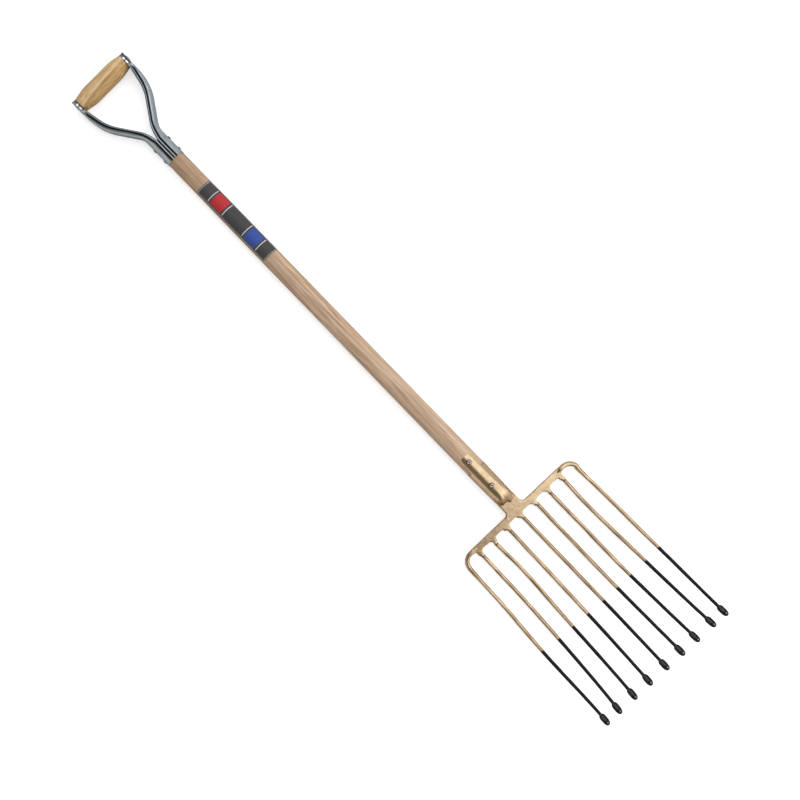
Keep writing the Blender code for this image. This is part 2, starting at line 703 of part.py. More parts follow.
def plate_outline():
    """Neck, bar and teeth in the plate's own plane, with y = 0 at the ends of the teeth."""
    gullet = TOOTH_LENGTH
    edge = TOOTH_LENGTH + BAR_HEIGHT
    neck = NECK_WIDTH / 2
    end = BAR_WIDTH / 2
    inner_half = TOOTH_WIDTH / 2
    step = edge - BAR_END_HEIGHT
    half = [(neck, edge + NECK_LENGTH + NECK_ROOT)]
    half += arc((neck + NECK_FILLET, edge + NECK_FILLET), NECK_FILLET, 180, 270)
    half += [(end, edge)]
    teeth = (TINE_COUNT - 3) // 2
    last = teeth * TINE_PITCH + inner_half
    corner = end - last
    half += arc((end, step - corner), corner, 90, 180)
    half += [(last, 0)]
    for tooth in range(teeth, 0, -1):
        left = tooth * TINE_PITCH - inner_half
        right = (tooth - 1) * TINE_PITCH + inner_half
        half += [(left, 0)]
        half += arc((left - TOOTH_FILLET, gullet - TOOTH_FILLET), TOOTH_FILLET, 0, 90)
        half += arc((right + TOOTH_FILLET, gullet - TOOTH_FILLET), TOOTH_FILLET, 90, 180)
        half += [(right, 0)]
    return half + [(-x, y) for x, y in reversed(half)]


def make_socket_rivets(head, shaft, finish):
    """Two rivets from front to back through the tongues, the socket and the shaft."""
    held = HEAD_SOCKET_DIAMETER + 2 * CLEARANCE
    diameter = SOCKET_RIVET_DIAMETER
    top = SOCKET_RIVET_HEAD_DIAMETER
    profile = rivet_profile(
        diameter, top, SOCKET_RIVET_HEAD_HEIGHT, held, top, SOCKET_RIVET_TAIL_HEIGHT
    )
    for name, down in zip(("upper", "lower"), SOCKET_RIVET_DOWNS):
        lathe("socket_rivet_" + name, profile, RIVET_STEPS, finish=finish, down=down)
        hole = cylinder("socket_rivet_hole_" + name, diameter + 2 * CLEARANCE, held, down=down, cutter=True)
        combine(head, hole)
        combine(shaft, hole)


def on_tine_sheet(x, run):
    """A point of the curved sheet that the tines lie in, at a run along it from the tooth ends."""
    if run <= 0:
        return (x, at_down(TINE_ROOT_DOWN + run * math.cos(ROOT_SLOPE)), ROOT_Z - run * math.sin(ROOT_SLOPE))
    angle = run / TINE_ARC_RADIUS - ROOT_SLOPE
    down = BELLY_DOWN + TINE_ARC_RADIUS * math.sin(angle)
    return (x, at_down(down), BELLY_Z + TINE_ARC_RADIUS * (1 - math.cos(angle)))


def rod_radius(run):
    """The tine's radius: even to the start of its taper, and thinner towards its knob."""
    share = max(run - TINE_TAPER_START, 0) / (TINE_LENGTH - TINE_TAPER_START)
    return (TINE_ROOT_DIAMETER + (TINE_TIP_DIAMETER - TINE_ROOT_DIAMETER) * share) / 2


def knob_radius(run):
    """The olive-shaped knob, a rounded end that grows out of the rod."""
    share = (run - TINE_LENGTH + KNOB_LENGTH) / KNOB_LENGTH
    bulge = max(1 - abs(2 * share - 1) ** KNOB_SHAPE_POWER, 0.0)
    return KNOB_DIAMETER / 2 * math.sqrt(bulge)


def tine_radius(run):
    """The rod up to its knob, which swells out of it and rounds off to a small flat end."""
    if run >= TINE_LENGTH:
        return KNOB_END_RADIUS
    if run > TINE_LENGTH - KNOB_LENGTH / 2:
        return knob_radius(run)
    if run > TINE_LENGTH - KNOB_LENGTH:
        return max(rod_radius(run), knob_radius(run))
    return rod_radius(run)


def knob_runs():
    """Places along the knob, closer together towards its ends."""
    runs = []
    for i in range(KNOB_STATIONS):
        share = (1 - math.cos(math.pi * (0.04 + 0.92 * i / (KNOB_STATIONS - 1)))) / 2
        runs.append(TINE_LENGTH - KNOB_LENGTH * (1 - share))
    return runs


def make_tine(number, finish):
    """One rod with its knob. Numbers run from left to right as seen from the front."""
    place = number - (TINE_COUNT + 1) / 2
    outermost = (TINE_COUNT - 1) / 2
    side = math.copysign(1, place)
    root_x = abs(place) * TINE_PITCH
    tip_x = abs(place) * TINE_TIP_PITCH
    bend = OUTER_TINE_BEND_RADIUS
    stations = []
    start = CLEARANCE
    power = TINE_FLARE_POWER
    extra = 0.0
    if abs(place) == outermost:
        tip_x -= OUTER_TIP_INSET
        power = OUTER_FLARE_POWER
        extra = (OUTER_TINE_BEND_DIAMETER - TINE_ROOT_DIAMETER) / 2
        middle = TOOTH_LENGTH + BAR_HEIGHT - BAR_END_HEIGHT / 2
        stations.append((BAR_WIDTH / 2 + CLEARANCE, -middle))
        for i in range(BEND_STEPS):
            angle = math.pi / 2 * i / BEND_STEPS
            stations.append((root_x - bend + bend * math.sin(angle), bend - middle - bend * math.cos(angle)))
        start = bend - middle
    length = TINE_LENGTH - KNOB_LENGTH
    for i in range(TINE_STATIONS):
        run = start + (length - start) * i / TINE_STATIONS
        stations.append((None, run))
    stations += [(None, run) for run in knob_runs()]
    stations.append((None, TINE_LENGTH))
    curve = bpy.data.curves.new("tine_%d" % number, "CURVE")
    curve.dimensions = "3D"
    curve.bevel_depth = 1
    curve.bevel_resolution = TINE_BEVEL_RESOLUTION
    curve.use_fill_caps = True
    spline = curve.splines.new("POLY")
    spline.points.add(len(stations) - 1)
    for point, (x, run) in zip(spline.points, stations):
        if x is None:
            flare = (max(run, 0) / TINE_LENGTH) ** power
            x = root_x + (tip_x - root_x) * flare
        point.co = (*on_tine_sheet(side * x, run), 1)
        thicker = extra * (1 - smooth_step(run, start, start + OUTER_TINE_BLEND_LENGTH))
        point.radius = tine_radius(run) + thicker
    return add_object("tine_%d" % number, curve, finish=finish, down=MIDDLE_DOWN)


clear_scene()
PARTS = new_collection("potato_fork")
CUTTERS = new_collection("cutters")
FORK = lying_empty()

lacquer = material("gold_lacquer", (0.42, 0.31, 0.17), 0.35, 0.7)
galvanised = material("galvanised_steel", (0.52, 0.55, 0.58), 0.3, 0.95)
ash = material("ash_shaft", (0.60, 0.44, 0.31), 0.55)
grip_wood = material("grip_wood", (0.62, 0.43, 0.20), 0.5)
label_film = material("label_film", (0.09, 0.09, 0.10), 0.35)
bright_steel = material("bright_steel", (0.6, 0.6, 0.6), 0.3, 1.0)

grip_frame = make_grip_frame(galvanised)
wooden_shaft = make_shaft(ash)
make_hand_grip(grip_wood)
make_grip_rod(bright_steel)
make_frame_rivets(grip_frame, wooden_shaft, galvanised)
make_label(label_film)
crosshead = make_crosshead(lacquer)
make_socket_rivets(crosshead, wooden_shaft, bright_steel)
for tine_number in range(1, TINE_COUNT + 1):
    make_tine(tine_number, lacquer)
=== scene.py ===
"""Potato fork: the looks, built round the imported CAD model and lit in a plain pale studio.

Lengths are in metres. A place on the fork is (x, down, z): to the right, down the shaft from the top
of the hand grip, and above the shaft's axis. The hollow side is up.
"""

from math import asin, copysign, cos, hypot, pi, radians, sin, sqrt, tan

import bmesh
import bpy
from mathutils import Matrix, Vector, noise


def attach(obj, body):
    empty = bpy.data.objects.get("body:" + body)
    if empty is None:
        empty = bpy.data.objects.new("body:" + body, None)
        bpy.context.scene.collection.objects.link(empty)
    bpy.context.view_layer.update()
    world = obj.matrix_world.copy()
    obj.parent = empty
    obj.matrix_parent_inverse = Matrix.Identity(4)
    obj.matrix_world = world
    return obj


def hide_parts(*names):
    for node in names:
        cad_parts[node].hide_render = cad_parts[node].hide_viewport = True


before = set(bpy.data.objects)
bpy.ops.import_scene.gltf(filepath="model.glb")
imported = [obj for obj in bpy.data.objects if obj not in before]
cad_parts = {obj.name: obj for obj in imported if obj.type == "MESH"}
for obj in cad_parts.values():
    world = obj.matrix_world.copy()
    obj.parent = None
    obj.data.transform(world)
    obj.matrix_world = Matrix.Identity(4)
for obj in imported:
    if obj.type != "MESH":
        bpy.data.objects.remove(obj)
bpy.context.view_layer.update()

# How the fork lies: its tilt about X, and where the middle of its axis is
LYING_TILT = -0.0037152
LYING_Y = 0.0000607
LYING_Z = 0.0207229
MIDDLE_DOWN = 0.7509009

# Play between two pieces, and how far one form is sunk into another
PLAY = 0.0003

# Hand grip and its rod
GRIP_DOWN = 0.018
GRIP_RADIUS = 0.018
GRIP_END_RADIUS = 0.0141
GRIP_STRAIGHT = 0.03
GRIP_END_X = 0.0569
GRIP_POWER = 1.3
GRIP_EDGE = 0.0008
ROD_RADIUS = 0.004
ROD_HEAD = (0.0065, 0.0014)

# Hand frame
FRAME_HALF = 0.0657
FRAME_SHEET = 0.0016
EYE_INNER_X = 0.0572
ARM_DEPTH = 0.0135
ARM_CORNER_WIDTH = 0.006
ARM_CORNER_DEPTH = 0.007
ARM_SHOULDER = (0.0773, 0.102)
ARM_WAIST = (0.146, 0.03)
INNER_SHOULDER = (0.0465, 0.0845, 0.094)
INNER_WAIST = (0.0062, 0.143, 0.075)
CROTCH_DOWN = 0.1697
FRAME_END_DOWN = 0.2146
FRAME_SOCKET_RADIUS = 0.0183
SOCKET_BLEND_DOWN = 0.1267
SEAM_GAP = 5e-5
BEAD_RADIUS = 0.0027
BEAD_SINK = 0.0024
BEAD_EASE = 0.0022
BEAD_GAP = 0.0002
BEAD_TURNS = (-80, 150)
# Painted shade on the bead's sides, and how far it reaches into the valley beside the bead
BEAD_SIDE_SHADE = ((0.15, 0.6), (0.2, 0.65))
VALLEY_SHADE_REACH = 0.0024
EYE_END_DOWNS = (0.03, 0.046)
# Painted shade on the bead's crest, and where down the arm it fades out
ARM_CREST_SHADE = 0.45
ARM_CREST_SHADE_DOWNS = (0.118, 0.15)
EYE_DISH = 0.0013
DISH_MIDDLE = 0.0057
EYE_RIM = 0.0008
EYE_RIM_START = 0.75
EYE_SQUARENESS = 0.6
# Painted highlight spots in the dish of an eye: middle down and inward, half length, half width
EYE_HIGHLIGHT_SPOTS = ((0.0182, 0.0056, 0.003, 0.0028), (0.0266, 0.0056, 0.004, 0.0021))
EYE_HIGHLIGHT_EDGE = (0.75, 1.1)
# Painted shade round the eyes: where it ends, how dark, and less at the cap and along the rim
EYE_DARK_DOWNS = (0.031, 0.036)
EYE_DARK = 0.8
EYE_CAP_DOWNS = (0.012, 0.0145)
EYE_CAP_DARK = 0.5
EYE_RIM_WIDTHS = (0.0012, 0.0022)
EYE_RIM_DARK = 0.25
FRAME_RIVET_DOWNS = (0.1757, 0.2027)
FRAME_RIVET_HEAD = (0.004, 0.0013)
FRAME_RIVET_RADIUS = 0.002
FRAME_RIVET_DULL = 0.6

# Shaft and label
SHAFT_TOP_RADIUS = 0.0178
SHAFT_BOTTOM_RADIUS = 0.0188
SHAFT_SWELL = 0.0005
SWELL_DOWNS = (0.225, 0.4)
TENON_RADIUS = 0.0159
TENON_DOWN = 0.174
SHAFT_EDGE = 0.0006
SHAFT_EDGE_LENGTH = 0.0008
SHAFT_POINT_RADIUS = 0.009
SHAFT_POINT_LENGTH = 0.013
LABEL_DOWN = 0.2873
LABEL_LENGTH = 0.1767
LABEL_LIFT = 0.0006
LABEL_EDGE = radians(-52)
LABEL_WRAP = radians(123)
LABEL_CORNER = 0.0035
LABEL_GLUE = 0.0001
LABEL_RIM = 0.0016
LABEL_LINE = 0.0006
LABEL_SIDE = 0.0052
# The label's bands: start, end and film, which is 0 for the dark ground
PALE, RED, BLUE = 1, 2, 3
LABEL_BANDS = (
    (0.025, 0.0265, PALE),
    (0.03, 0.058, RED),
    (0.0615, 0.063, PALE),
    (0.1135, 0.115, PALE),
    (0.1185, 0.1465, BLUE),
    (0.15, 0.1515, PALE),
)

# Head: socket with its tongues, neck, toothed bar
TONGUE_TOP_DOWN = 0.9736
TONGUE_HALF = 0.0124
TONGUE_CORNER = 0.008
MOUTH_LENGTH = 0.01
CUT_HALF = 0.04
CUT_REACH = 0.03
RIM_DOWN = 1.008
RIM_FILLET = 0.003
SOCKET_RADIUS = 0.0197
NOSE_RADIUS = 0.0186
SOCKET_BORE = 0.0168
NOSE_BORE = 0.0158
BORE_END_DOWN = 1.078
NOSE_DOWN = 1.0938671
NOSE_LENGTH = 0.018
NOSE_EARLY = 0.014
NOSE_POWER = 2
NOSE_FOOT = 0.75
NOSE_NARROWING = 0.35
# How the nose's right side differs: where it starts and ends, and how it falls
NOSE_SIDE_REACH = 0.006
NOSE_SIDE_EARLY = 0.004
NOSE_SIDE_LATE = 0.007
NOSE_SIDE_POWER = 1.8
NOSE_SIDE_FOOT = 1.3
SQUARE_DOWNS = (1.03, 1.066)
SQUARE_LAG = 0.034
SQUARENESS = 2.6
RIDGE_FOOT = 6
RIDGE_LEAST = 0.001
HEEL_LENGTH = 0.04
SOCKET_RIVET_DOWNS = (0.9879, 1.047)
SOCKET_RIVET_RADIUS = 0.00425
SOCKET_RIVET_SHANK = 0.0025
SOCKET_RIVET_HEIGHT = 0.003
SOCKET_RIVET_TAIL = 0.0012
RIVET_DIMPLE = 0.32
DIMPLE_LEVEL = 0.4
# Painted shade at the rim of a pin's head: where across the head it sets in and where it is full
PIN_RIM_SHADE = (0.75, 1.0)
PLATE_THICKNESS = 0.005
NECK_HALF = 0.0186
NECK_LENGTH = 0.0207
NECK_ROOT = 0.006
NECK_FILLET = 0.0075
BAR_HALF = 0.1128
BAR_HEIGHT = 0.0133
BAR_END_HEIGHT = 0.0094
TOOTH_HALF = 0.004
TOOTH_LENGTH = 0.0106
TOOTH_FILLET = 0.008
BAR_END_MIDDLE = TOOTH_LENGTH + BAR_HEIGHT - BAR_END_HEIGHT / 2
# Weld beads: half width, half length and half height
TOOTH_BEAD = (0.0041, 0.0026, 0.004)
TOOTH_BEAD_UP = 0.0004
END_BEAD = (0.005, 0.005, 0.004)
END_BEAD_INSET = 0.001

# Tines
TINE_COUNT = 9
ROOT_DOWN = 1.138
ROOT_SLOPE = radians(8.3)
ROOT_Z = -0.0119465
BELLY_DOWN = 1.230388
BELLY_Z = -0.01865
TINE_PITCH = 0.0344
TIP_PITCH = 0.0385
FLARE_POWER = 2
OUTER_TIP_INSET = 0.0076
OUTER_FLARE_POWER = 0.8
TINE_LENGTH = 0.373
TINE_ROOT_RADIUS = 0.00372
TINE_TIP_RADIUS = 0.0031
TAPER_START = 0.14
ARC_RADIUS = 0.64
BEND_RADIUS = 0.02
BEND_EXTRA = 0.00075
BEND_BLEND = 0.04
KNOB_LENGTH = 0.0225
KNOB_RADIUS = 0.0061
KNOB_POWER = 2.8
SHOULDER_POWER = 4.4
# Painted highlight along a knob's upper and under crest: how light, along which share and how near the
# crest
KNOB_CREST_HIGHLIGHT = 0.17
KNOB_HIGHLIGHT_SHARES = (0.52, 0.64)
KNOB_HIGHLIGHT_LIFTS = (0.92, 1.0)
# A painted highlight spot: its share of the knob's length, place to the right and radius
KNOB_HIGHLIGHT_SPOT = (0.79, 0.0013, 0.0017)
DIP_DOWN = 1.348
DIP_SHIFTS = (-6, -2, -1, 0, 2, 2, 2, 2, 0)
DIP_EDGE = 0.0004
# How far each tine swings aside, in mm, at four shares of its length
SWAY_SHARES = (0.02, 0.17, 0.57, 0.98)
TINE_SWAYS = (
    (-0.7, -1.4, -5.1, -1.1),
    (-0.6, -1.7, -2.9, -1.8),
    (-1.8, -0.1, -3.6, -2.5),
    (-0.2, -1.5, -2.6, -3.1),
    (0.3, -0.1, -0.5, -0.8),
    (1.7, 0.6, -1.1, -0.8),
    (-0.5, -0.8, -3.3, -3.1),
    (-0.3, -1.9, -0.7, -2.2),
    (-1.9, -1.3, -2.0, -3.8),
)
# Lumps beside the teeth, in mm: tine, place aside and up from the tooth's end, half width, half length
TOOTH_LUMPS = (
    (2, -4.2, 7.0, 2.4, 6.5),
    (3, 3.6, 7.5, 2.6, 3.6),
    (4, -6.0, 9.5, 3.6, 6.0),
    (4, 3.2, 6.0, 2.6, 5.0),
    (5, -5.6, 8.0, 3.2, 4.0),
    (6, -5.0, 10.5, 2.6, 3.0),
    (7, -4.4, 9.5, 3.2, 3.2),
    (8, -4.4, 6.0, 2.2, 5.5),
    (8, -12.0, 11.0, 5.0, 1.8),
    (3, -13.0, 10.6, 3.0, 1.4),
)
SCORCH_RUN = 0.004
SCORCH_FULL = 0.3
# Painted shade on the rods' flanks, and across the rod where it fades
FLANK_SHADE = 0.32
SIDE_LIFTS = (0.3, 0.85)
# Painted shade on the plate's side faces: how dark, where below the nose it starts, and the tilts over
# which it fades
PLATE_EDGE_SHADE = 0.55
PLATE_START = (-0.002, 0.006)
PLATE_EDGE_TILTS = (0.25, 0.75)
# Painted shade in a ring round the socket's rivets: how far it reaches
RIVET_SHADE_REACH = 0.0018
LAP_LENGTH = 0.012
LAP_SHARES = (0, 0.05, 0.15, 0.3, 0.5, 0.75, 1)
LAP_END = 0.35
LAP_SCORCH = 1.8
HEAD_VOXEL = 0.0009
SOFTENINGS = 11
HAMMERED = 8e-5
HAMMERED_SOCKET = 0.15
HAMMERED_SCALES = (110, 280)
HAMMERED_FINE = 0.6
# Painted shade in a line along the socket's rim beside the tongues: how dark and how far it reaches
RIM_SHADE = 0.7
RIM_SHADE_REACH = 0.0016
UNEVEN_ROD = 0.05
UNEVEN_SCALE = 60
UNEVEN_SPREAD = 0.01
ROD_STAIN = 0.4
STAIN_SCALE = 34
ROD_BROWN = 0.16
ROD_BROWN_RUNS = (0.08, 0.15)

# Woods: the shaft darkened towards its top as painted shade, and the grip's line of heartwood
TOP_SHADE = 0.65
TOP_SHADE_YS = (0.2, 0.52)
TOP_SHADE_TINT = (0.73, 0.68, 0.6)
HEART_Y = 0.7312
# Below the ring line: partly the heartwood's warmer tone, partly painted shade
HEART_TONE_AND_SHADE = (0.85, 0.76, 0.6)
HEART_WANDER = (24, 90, 90)
HEART_REACH = 0.008
HEART_SLANT = -0.09
HEART_EDGE = (-0.0015, 0.001)
HEART_RING = (-0.0014, 0.0, 0.0012)
# A pale streak above the ring line as a painted highlight: where it starts, peaks and ends
HEART_HIGHLIGHT = (0.001, 0.0026, 0.0044)
# Dark grain as streaks, fine streaks, pores and lines: scale, detail, roughness and distortion of the
# noise, where it is full and where gone, its strength and its share of the dark tone
GRAIN = (
    (230, 3, 0.6, 0.1, 0.36, 0.56, 0.65, 1.0),
    (620, 3, 0.6, 0.0, 0.4, 0.55, 0.35, 1.0),
    (1500, 2, 0.5, 0.0, 0.34, 0.42, 0.5, 0.6),
    (330, 2, 0.4, 0.0, 0.27, 0.36, 0.8, 0.75),
)

# Rods' dents: their height, their stretch, and how far below the fork's middle they set in
DENT = 0.003
DENT_SCALE = (130, 14, 130)
DENT_START = (0.385, 0.41)

# Fineness: steps, or sides of what is round
ROUND = 96
COARSE = 24
FEW = 10
PIN_SIDES = 32
WEB_STEPS = 4
VALLEY_STEPS = 26
BEAD_STEPS = 16
EYE_STEPS = 64
GRIP_STEPS = 14
SHAFT_STEPS = 60
LABEL_STEPS = 40
NOSE_STEPS = 20
HEEL_STEPS = 12
SCORCH_STEPS = 5
KNOB_STEPS = 28
TINE_STEP = 0.004
FRAME_STEP = 0.0015
MERGE = 1e-5

LYING = Matrix.Translation((0, LYING_Y, LYING_Z)) @ Matrix.Rotation(LYING_TILT, 4, "X")


def on_fork(x, down, z):
    """A place on the fork in the row frame."""
    return LYING @ Vector((x, MIDDLE_DOWN - down, z))


def between(start, end, share):
    return start + (end - start) * share


def spread(start, end, steps):
    """Even places from start to end, both included."""
    return [start + (end - start) * i / steps for i in range(steps + 1)]


def quarter(steps):
    return spread(0, pi / 2, steps)


def around(steps):
    return spread(0, 2 * pi, steps)[:-1]


def share_of(value, start, end):
    return min(max((value - start) / (end - start), 0.0), 1.0)


def smooth(value, start, end):
    share = share_of(value, start, end)
    return share * share * (3 - 2 * share)


def arc(x, y, radius, start, end):
    """Points of an arc between two angles in degrees, ends included."""
    angles = [radians(turn) for turn in spread(start, end, FEW)]
    return [(x + radius * cos(angle), y + radius * sin(angle)) for angle in angles]


# Materials


class Nodes:
    """The nodes of a material or a world. A value is a plain one or another node's output."""

    def __init__(self, owner, shader):
        owner.use_nodes = True
        self.tree = owner.node_tree
        self.shader = self.tree.nodes[shader]

    def feed(self, socket, value):
        if isinstance(value, bpy.types.NodeSocket):
            self.tree.links.new(value, socket)
        else:
            socket.default_value = (*value, 1) if socket.type == "RGBA" else value

    def new(self, kind, values=(), **settings):
        node = self.tree.nodes.new("ShaderNode" + kind)
        for key, value in settings.items():
            setattr(node, key, value)
        for key, value in dict(values).items():
            self.feed(node.inputs[key], value)
        return node

    def set(self, **values):
        """Values on the shader's own sockets."""
        for key, value in values.items():
            self.feed(self.shader.inputs[key.replace("_", " ")], value)

    def stretched(self, scale):
        return self.new("Mapping", {"Vector": self.place, "Scale": scale}).outputs["Vector"]

    def noise(self, scale, detail=4, roughness=0.55, distortion=0.0, vector=None):
        values = {"Scale": scale, "Detail": detail, "Roughness": roughness, "Distortion": distortion}
        return self.new("TexNoise", {**values, "Vector": vector or self.place}).outputs["Fac"]

    def ramp(self, value, *stops):
        """A colour ramp. A stop is (position, colour), and a colour is a grey or three numbers."""
        node = self.new("ValToRGB", {"Fac": value})
        elements = node.color_ramp.elements
        while len(elements) < len(stops):
            elements.new(0.5)
        for element, (position, colour) in zip(elements, stops):
            element.position = position
            element.color = (*colour, 1) if hasattr(colour, "__len__") else (colour, colour, colour, 1)
        return node.outputs["Color"]

    def mix(self, share, first, second, blend="MIX"):
        node = self.new("Mix", data_type="RGBA", blend_type=blend)
        for socket, value in zip([s for s in node.inputs if s.enabled], (share, first, second)):
            self.feed(socket, value)
        return next(s for s in node.outputs if s.enabled)

    def maths(self, operation, *values):
        return self.new("Math", enumerate(values), operation=operation).outputs["Value"]

    def attribute(self, name):
        return self.new("Attribute", attribute_name=name).outputs["Fac"]

    def axis(self, name):
        return self.new("SeparateXYZ", {0: self.place}).outputs[name]

    def bump(self, height, distance, strength=1.0, after=None):
        values = {"Height": height, "Distance": distance, "Strength": strength}
        if after:
            values["Normal"] = after
        return self.new("Bump", values).outputs["Normal"]


class Finish(Nodes):
    """A material's nodes, with the place on the piece."""

    def __init__(self, name):
        self.material = bpy.data.materials.new(name)
        super().__init__(self.material, "Principled BSDF")
        self.place = self.new("TexCoord").outputs["Object"]


def lacquered_steel(name, coat, dented=False):
    """Gold lacquer over forged steel: softly mottled, glossy, scorched brown beside the welds, and
    darkened by painted shade on the plate's edges, round the rivets, along the rim and on the rods'
    flanks.

    dented gives it the long shallow dents of a hammered rod.
    """
    n = Finish(name)
    mottle = n.noise(170, 5, 0.6)
    patches = n.noise(34, 4)
    pits = n.noise(700, 3)
    golds = ((0.3, (0.53, 0.375, 0.22)), (0.5, (0.58, 0.425, 0.26)), (0.7, (0.62, 0.465, 0.295)))
    stained = n.ramp(patches, (0.44, 0.0), (0.68, 0.45))
    tone = n.mix(stained, n.ramp(mottle, *golds), (0.4, 0.275, 0.15))
    # This darkening holds real scorch and stains on the rods, and painted shade on the plate's edges,
    # round the rivets, along the rim and on the rods' flanks
    tone = n.mix(n.maths("MULTIPLY", n.attribute("stain_and_shade"), 0.85), tone, (0.1, 0.055, 0.02))
    n.set(Base_Color=tone, Metallic=0.92, Roughness=n.ramp(mottle, (0.3, 0.31), (0.7, 0.25)))
    n.set(Specular_Tint=(0.35, 0.22, 0.1), Coat_Weight=coat, Coat_Roughness=0.16)
    dents = None
    if dented:
        start, full = DENT_START
        beyond = n.ramp(n.maths("MULTIPLY", n.axis("Y"), -1.0), (start, 0.0), (full, 1.0))
        height = n.maths("MULTIPLY", n.noise(1.0, 1, vector=n.stretched(DENT_SCALE)), beyond)
        dents = n.bump(height, DENT)
    n.set(Normal=n.bump(pits, 0.0001, 0.15, n.bump(mottle, 0.0002, 0.12, dents)))
    return n.material


def black_dip():
    """The glossy black coat on the tines' lower halves, lightened to grey by painted highlights on the
    knobs.
    """
    n = Finish("black_dip")
    runs = n.noise(60, 3)
    tone = n.ramp(n.noise(160), (0.3, (0.003, 0.0025, 0.002)), (0.7, (0.006, 0.005, 0.004)))
    # Painted highlights on the knobs turn the black a mid grey
    tone = n.mix(n.attribute("painted_highlight"), tone, (0.32, 0.31, 0.3))
    n.set(Base_Color=tone, Roughness=n.ramp(runs, (0.3, 0.09), (0.7, 0.14)))
    n.set(Normal=n.bump(runs, 0.0003, 0.1), Specular_IOR_Level=0.21)
    return n.material


def galvanised_steel():
    """Zinc-coated sheet: a cool grey, faintly clouded, near black with painted shade in the grooves, on
    the beads and round the eyes, and near white and smoother at the eyes' painted highlight spots.
    """
    n = Finish("galvanised_steel")
    clouds = n.noise(70, 4)
    fine = n.noise(420, 3)
    painted_highlight = n.attribute("painted_highlight")
    tone = n.ramp(clouds, (0.3, (0.32, 0.36, 0.385)), (0.7, (0.44, 0.48, 0.505)))
    # Painted highlights: the spots at the eyes turn near white and smoother
    tone = n.mix(painted_highlight, tone, (0.86, 0.88, 0.88))
    # Painted shade turns the grooves, bead sides, eyes and rivet rims near black; the rivets' tops are
    # darker in tone
    tone = n.mix(n.maths("MULTIPLY", n.attribute("stain_and_shade"), 0.95), tone, (0.012, 0.014, 0.015))
    dull = n.ramp(fine, (0.3, 0.26), (0.7, 0.38))
    n.set(Base_Color=tone, Metallic=0.85, Roughness=n.maths("MULTIPLY_ADD", painted_highlight, -0.12, dull))
    n.set(Specular_Tint=(0.5, 0.5, 0.5), Normal=n.bump(fine, 0.0001, 0.3))
    return n.material


def bright_steel():
    n = Finish("bright_steel")
    tone = n.ramp(n.noise(600), (0.3, (0.4, 0.4, 0.4)), (0.7, (0.6, 0.6, 0.58)))
    # Painted shade at the rims of the pins' heads and in the rivets' dimples
    n.set(Base_Color=n.mix(n.attribute("stain_and_shade"), tone, (0.05, 0.045, 0.04)))
    n.set(Metallic=1.0, Roughness=0.22, Normal=n.bump(n.noise(500), 0.0002, 0.4))
    return n.material


def heartwood(n, tone, pale, dark):
    """The grip's tone with a ring line along it; below it warmer and darker, partly the heartwood's
    tone and partly painted shade; above it a pale streak that is a painted highlight.
    """
    wander = n.noise(1.0, 2, 0.5, 0.0, n.stretched(HEART_WANDER))
    line = n.maths("MULTIPLY_ADD", wander, HEART_REACH, n.axis("Y"))
    line = n.maths("MULTIPLY_ADD", n.axis("X"), HEART_SLANT, line)
    within, outside = (HEART_Y + edge for edge in HEART_EDGE)
    tone = n.mix(n.ramp(line, (within, 1.0), (outside, 0.0)), tone, HEART_TONE_AND_SHADE, "MULTIPLY")
    # A dark ring line of grain, and above it a pale streak that is a painted highlight
    ring_tone = [0.45 * c for c in dark]
    for places, strength, colour in ((HEART_RING, 0.9, ring_tone), (HEART_HIGHLIGHT, 0.6, pale)):
        start, middle, end = (HEART_Y + place for place in places)
        share = n.ramp(line, (start, 0.0), (middle, strength), (end, 0.0))
        tone = n.mix(share, tone, colour)
    return tone


def wood(name, along, tones, roughness, top_shade=0.0, heart=False):
    """Clear-finished ash: growth rings cut lengthwise, fine pores and long soft streaks.

    along gives the stretch of the grain on each axis, tones its pale, middle and dark tone, and the
    argument after roughness how far painted shade darkens the top end.
    """
    n = Finish(name)
    pale, middle, dark = tones
    broad = n.noise(1.0, 2, 0.5, 0.3, n.stretched([48 * a for a in along]))
    rings = n.maths("FRACT", n.maths("MULTIPLY", broad, 11.0))
    tone = n.ramp(rings, (0.0, dark), (0.22, middle), (0.75, pale), (1.0, dark))
    tone = n.mix(0.45, tone, n.ramp(broad, (0.35, middle), (0.62, pale)))
    layers = []
    for scale, detail, rough, distortion, full, gone, strength, shade in GRAIN:
        layers.append(n.noise(1.0, detail, rough, distortion, n.stretched([scale * a for a in along])))
        share = n.ramp(layers[-1], (full, strength), (gone, 0.0))
        tone = n.mix(share, tone, [shade * c for c in dark])
    if heart:
        tone = heartwood(n, tone, pale, dark)
    # Painted shade: the shaft darkens towards its top end
    if top_shade:
        start, end = TOP_SHADE_YS
        tone = n.mix(n.ramp(n.axis("Y"), (start, 0.0), (end, top_shade)), tone, TOP_SHADE_TINT, "MULTIPLY")
    fine, pores = layers[1:3]
    n.set(Base_Color=tone, Roughness=roughness, Specular_IOR_Level=0.25)
    n.set(Normal=n.bump(pores, 0.0002, 0.3, n.bump(fine, 0.0002, 0.25)))
    return n.material


def film(name, colour):
    n = Finish(name)
    flecks = n.noise(700, 3)
    darker = [0.82 * c for c in colour]
    n.set(Base_Color=n.ramp(flecks, (0.35, darker), (0.65, colour)), Roughness=0.5)
    n.set(Normal=n.bump(flecks, 0.00005, 0.2), Specular_IOR_Level=0.16)
    return n.material


# Meshes


def add_object(name, data):
    made = bpy.data.objects.new(name, data)
    bpy.context.scene.collection.objects.link(made)
    return made


def add_mesh(name, shape):
    """An object from a bmesh, which it uses up."""
    mesh = bpy.data.meshes.new(name)
    shape.to_mesh(mesh)
    shape.free()
    return add_object(name, mesh)


def piece(name, shape, finishes, node):
    """A mesh built in the row frame, as a piece that stands for a CAD node."""
    made = add_mesh(name, shape)
    for finish in finishes:
        made.data.materials.append(finish)
    made.data.shade_smooth()
    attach(made, "root")
    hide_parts(node)
    return made


